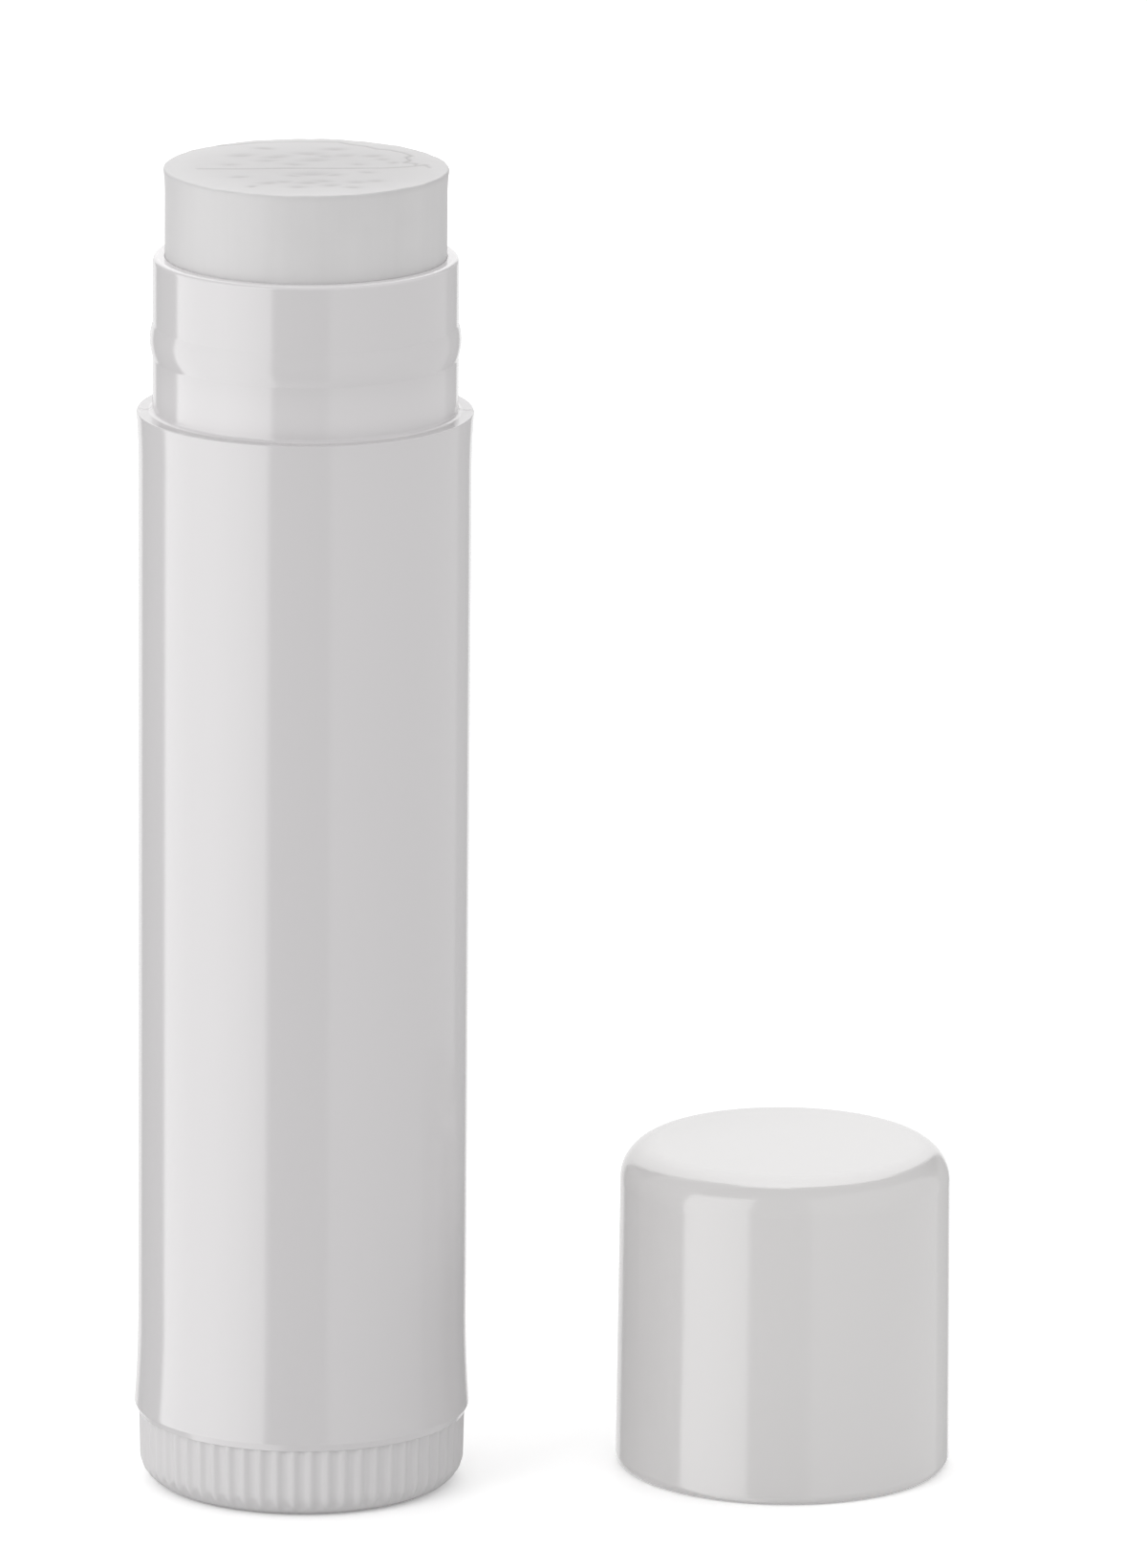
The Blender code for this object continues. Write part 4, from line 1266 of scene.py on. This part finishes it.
def add_mirrored_light(name, mesh, glow):
    """Add a part of the studio that only glossy rays see, as bright at each point as glow says."""
    store_mark(mesh, "glow", glow)
    material = bpy.data.materials.new(name)
    material.cycles.emission_sampling = "NONE"
    tree = empty_tree(material)
    level = new_node(tree, "ShaderNodeAttribute", attribute_name="glow")
    shine = white_light(tree, "ShaderNodeEmission", level.outputs["Fac"])
    new_node(tree, "ShaderNodeOutputMaterial", {"Surface": shine})
    part = new_piece(name, mesh, material)
    part.visible_camera = False
    part.visible_diffuse = False
    part.visible_transmission = False
    part.visible_volume_scatter = False
    part.visible_shadow = False


def make_studio_dome():
    """The studio that the glossy plastic mirrors: a dome with lights, grey cards and dark sides."""
    columns = round(360 / DOME_AZIMUTH_STEP) + 1
    rows = round(180 / DOME_ELEVATION_STEP) + 1
    azimuth, elevation = np.meshgrid(np.linspace(-180, 180, columns), np.linspace(-90, 90, rows))
    vertices = DOME_RADIUS * towards(azimuth, elevation).reshape(-1, 3)
    corners = [row * columns + column for row in range(rows - 1) for column in range(columns - 1)]
    faces = [(corner, corner + columns, corner + columns + 1, corner + 1) for corner in corners]
    mesh = bpy.data.meshes.new("studio_dome")
    mesh.from_pydata(vertices.tolist(), [], faces)
    add_mirrored_light("studio_dome", mesh, studio_glow(azimuth, elevation))


def make_reflection_foot():
    """A grey post under the floor, below the tube, so that the tube's image in the cap reaches the floor."""
    outline = [(0, -FOOT_POST_DEPTH), (FOOT_POST_RADIUS, -FOOT_POST_DEPTH),
               (FOOT_POST_RADIUS, WHEEL_EDGE_RADIUS), (0, WHEEL_EDGE_RADIUS)]
    mesh = turned_mesh("reflection_foot", outline, even_angles(FOOT_POST_COLUMNS))
    add_mirrored_light("reflection_foot", mesh, np.full(len(mesh.vertices), FOOT_POST_GLOW))


def make_lamp(name, azimuth, elevation, power):
    """A soft lamp that lights the object from one side and isn't mirrored in it."""
    data = bpy.data.lights.new(name, "AREA")
    data.shape = "SQUARE"
    data.size = LAMP_SIZE
    data.energy = power
    lamp = linked(name, data)
    lamp.location = LAMP_DISTANCE * Vector(towards(azimuth, elevation))
    lamp.rotation_euler = (-lamp.location).to_track_quat("-Z", "Y").to_euler()
    lamp.visible_camera = False
    lamp.visible_glossy = False


def floor_material(settings):
    """Pale floor that keeps the object's shadow and is white where it lies open to the light."""
    material = bpy.data.materials.new("white_floor")
    tree = empty_tree(material)
    by_camera = tree.nodes.new("ShaderNodeLightPath").outputs["Is Camera Ray"]
    gain = maths(tree, "MULTIPLY_ADD", by_camera, settings.floor_whiteness - 1, 1.0)
    lit = new_node(tree, "ShaderNodeBsdfDiffuse", {"Color": scaled(tree, tuple(settings.floor_colour), gain)})
    white = white_light(tree, "ShaderNodeEmission", 1.0)
    haze = maths(tree, "MULTIPLY", by_camera, settings.floor_haze)
    seen = new_node(tree, "ShaderNodeMixShader", {0: haze, 1: lit.outputs[0], 2: white})
    new_node(tree, "ShaderNodeOutputMaterial", {"Surface": seen.outputs[0]})
    return material


def make_floor(settings):
    """The floor, which the glossy plastic mirrors as part of the dome instead."""
    half = FLOOR_HALF_WIDTH
    corners = [(-half, -half, 0), (half, -half, 0), (half, half, 0), (-half, half, 0)]
    mesh = bpy.data.meshes.new("studio_floor")
    mesh.from_pydata(corners, [], [(0, 1, 2, 3)])
    floor = new_piece("studio_floor", mesh, floor_material(settings))
    floor.visible_glossy = False


def make_world(settings):
    """Even room light, with a white backdrop for what the camera, reflections and clear parts see."""
    world = bpy.data.worlds.new("studio_room")
    tree = empty_tree(world)
    rays = tree.nodes.new("ShaderNodeLightPath").outputs
    seen = maths(tree, "MAXIMUM", rays["Is Camera Ray"], rays["Is Glossy Ray"])
    seen = maths(tree, "MAXIMUM", seen, rays["Is Transmission Ray"])
    mixed = new_node(tree, "ShaderNodeMixShader", {
        0: seen, 1: white_light(tree, "ShaderNodeBackground", settings.room_light),
        2: white_light(tree, "ShaderNodeBackground", 1.0)})
    new_node(tree, "ShaderNodeOutputWorld", {"Surface": mixed.outputs[0]})
    bpy.context.scene.world = world


def make_camera():
    """The camera at the photograph's viewing angle."""
    data = bpy.data.cameras.new("photo_camera")
    data.sensor_fit = "AUTO"
    data.sensor_width = SENSOR_SIZE
    data.lens = CAMERA_LENS
    camera = linked("photo_camera", data)
    camera.matrix_world = (Matrix.Translation(CAMERA_PLACE) @ Matrix.Rotation(-CAMERA_YAW, 4, "Z")
                           @ Matrix.Rotation(math.pi / 2 - CAMERA_PITCH, 4, "X")
                           @ Matrix.Rotation(CAMERA_ROLL, 4, "Z"))
    bpy.context.scene.camera = camera


class LIPBALM_OT_make_stage(bpy.types.Operator):
    """Make the floor, the studio light and the camera"""

    bl_idname = "lip_balm.make_stage"
    bl_label = "Make Stage"

    def execute(self, context):
        settings = context.scene.lip_balm_stage
        make_floor(settings)
        make_studio_dome()
        make_reflection_foot()
        for name, azimuth, elevation in LAMPS:
            make_lamp(name, azimuth, elevation, getattr(settings, name))
        make_world(settings)
        make_camera()
        bpy.context.scene.view_settings.view_transform = "Standard"
        return {"FINISHED"}


OPERATORS = (
    LIPBALM_OT_make_barrel,
    LIPBALM_OT_make_wheel,
    LIPBALM_OT_make_spindle,
    LIPBALM_OT_coat_elevator_cup,
    LIPBALM_OT_make_balm,
    LIPBALM_OT_make_cap,
    LIPBALM_OT_make_stage,
)

PROPERTY_GROUPS = (
    ("lip_balm_plastics", LIPBALM_PG_plastics),
    ("lip_balm_barrel", LIPBALM_PG_barrel),
    ("lip_balm_wheel", LIPBALM_PG_wheel),
    ("lip_balm_balm", LIPBALM_PG_balm),
    ("lip_balm_cap", LIPBALM_PG_cap),
    ("lip_balm_stage", LIPBALM_PG_stage),
)


class LIPBALM_PT_panel(bpy.types.Panel):
    """Sizes, colours and operators of the lip balm stick"""

    bl_idname = "LIPBALM_PT_panel"
    bl_label = "Lip Balm Stick"
    bl_space_type = "VIEW_3D"
    bl_region_type = "UI"
    bl_category = "Lip Balm"

    def draw(self, context):
        for operator in OPERATORS:
            self.layout.operator(operator.bl_idname)
        for name, group in PROPERTY_GROUPS:
            box = self.layout.box()
            settings = getattr(context.scene, name)
            for label in group.__annotations__:
                box.prop(settings, label)


def register():
    """Register the settings, the operators and the panel."""
    for name, group in PROPERTY_GROUPS:
        bpy.utils.register_class(group)
        setattr(bpy.types.Scene, name, PointerProperty(type=group))
    for operator in OPERATORS:
        bpy.utils.register_class(operator)
    bpy.utils.register_class(LIPBALM_PT_panel)


def unregister():
    """Take the settings, the operators and the panel away again."""
    bpy.utils.unregister_class(LIPBALM_PT_panel)
    for operator in reversed(OPERATORS):
        bpy.utils.unregister_class(operator)
    for name, group in reversed(PROPERTY_GROUPS):
        delattr(bpy.types.Scene, name)
        bpy.utils.unregister_class(group)


def main():
    """Build the lip balm stick and its stage."""
    register()
    bpy.ops.lip_balm.make_barrel()
    bpy.ops.lip_balm.make_wheel()
    bpy.ops.lip_balm.make_spindle()
    bpy.ops.lip_balm.coat_elevator_cup()
    bpy.ops.lip_balm.make_balm()
    bpy.ops.lip_balm.make_cap()
    bpy.ops.lip_balm.make_stage()


if __name__ == "__main__":
    main()
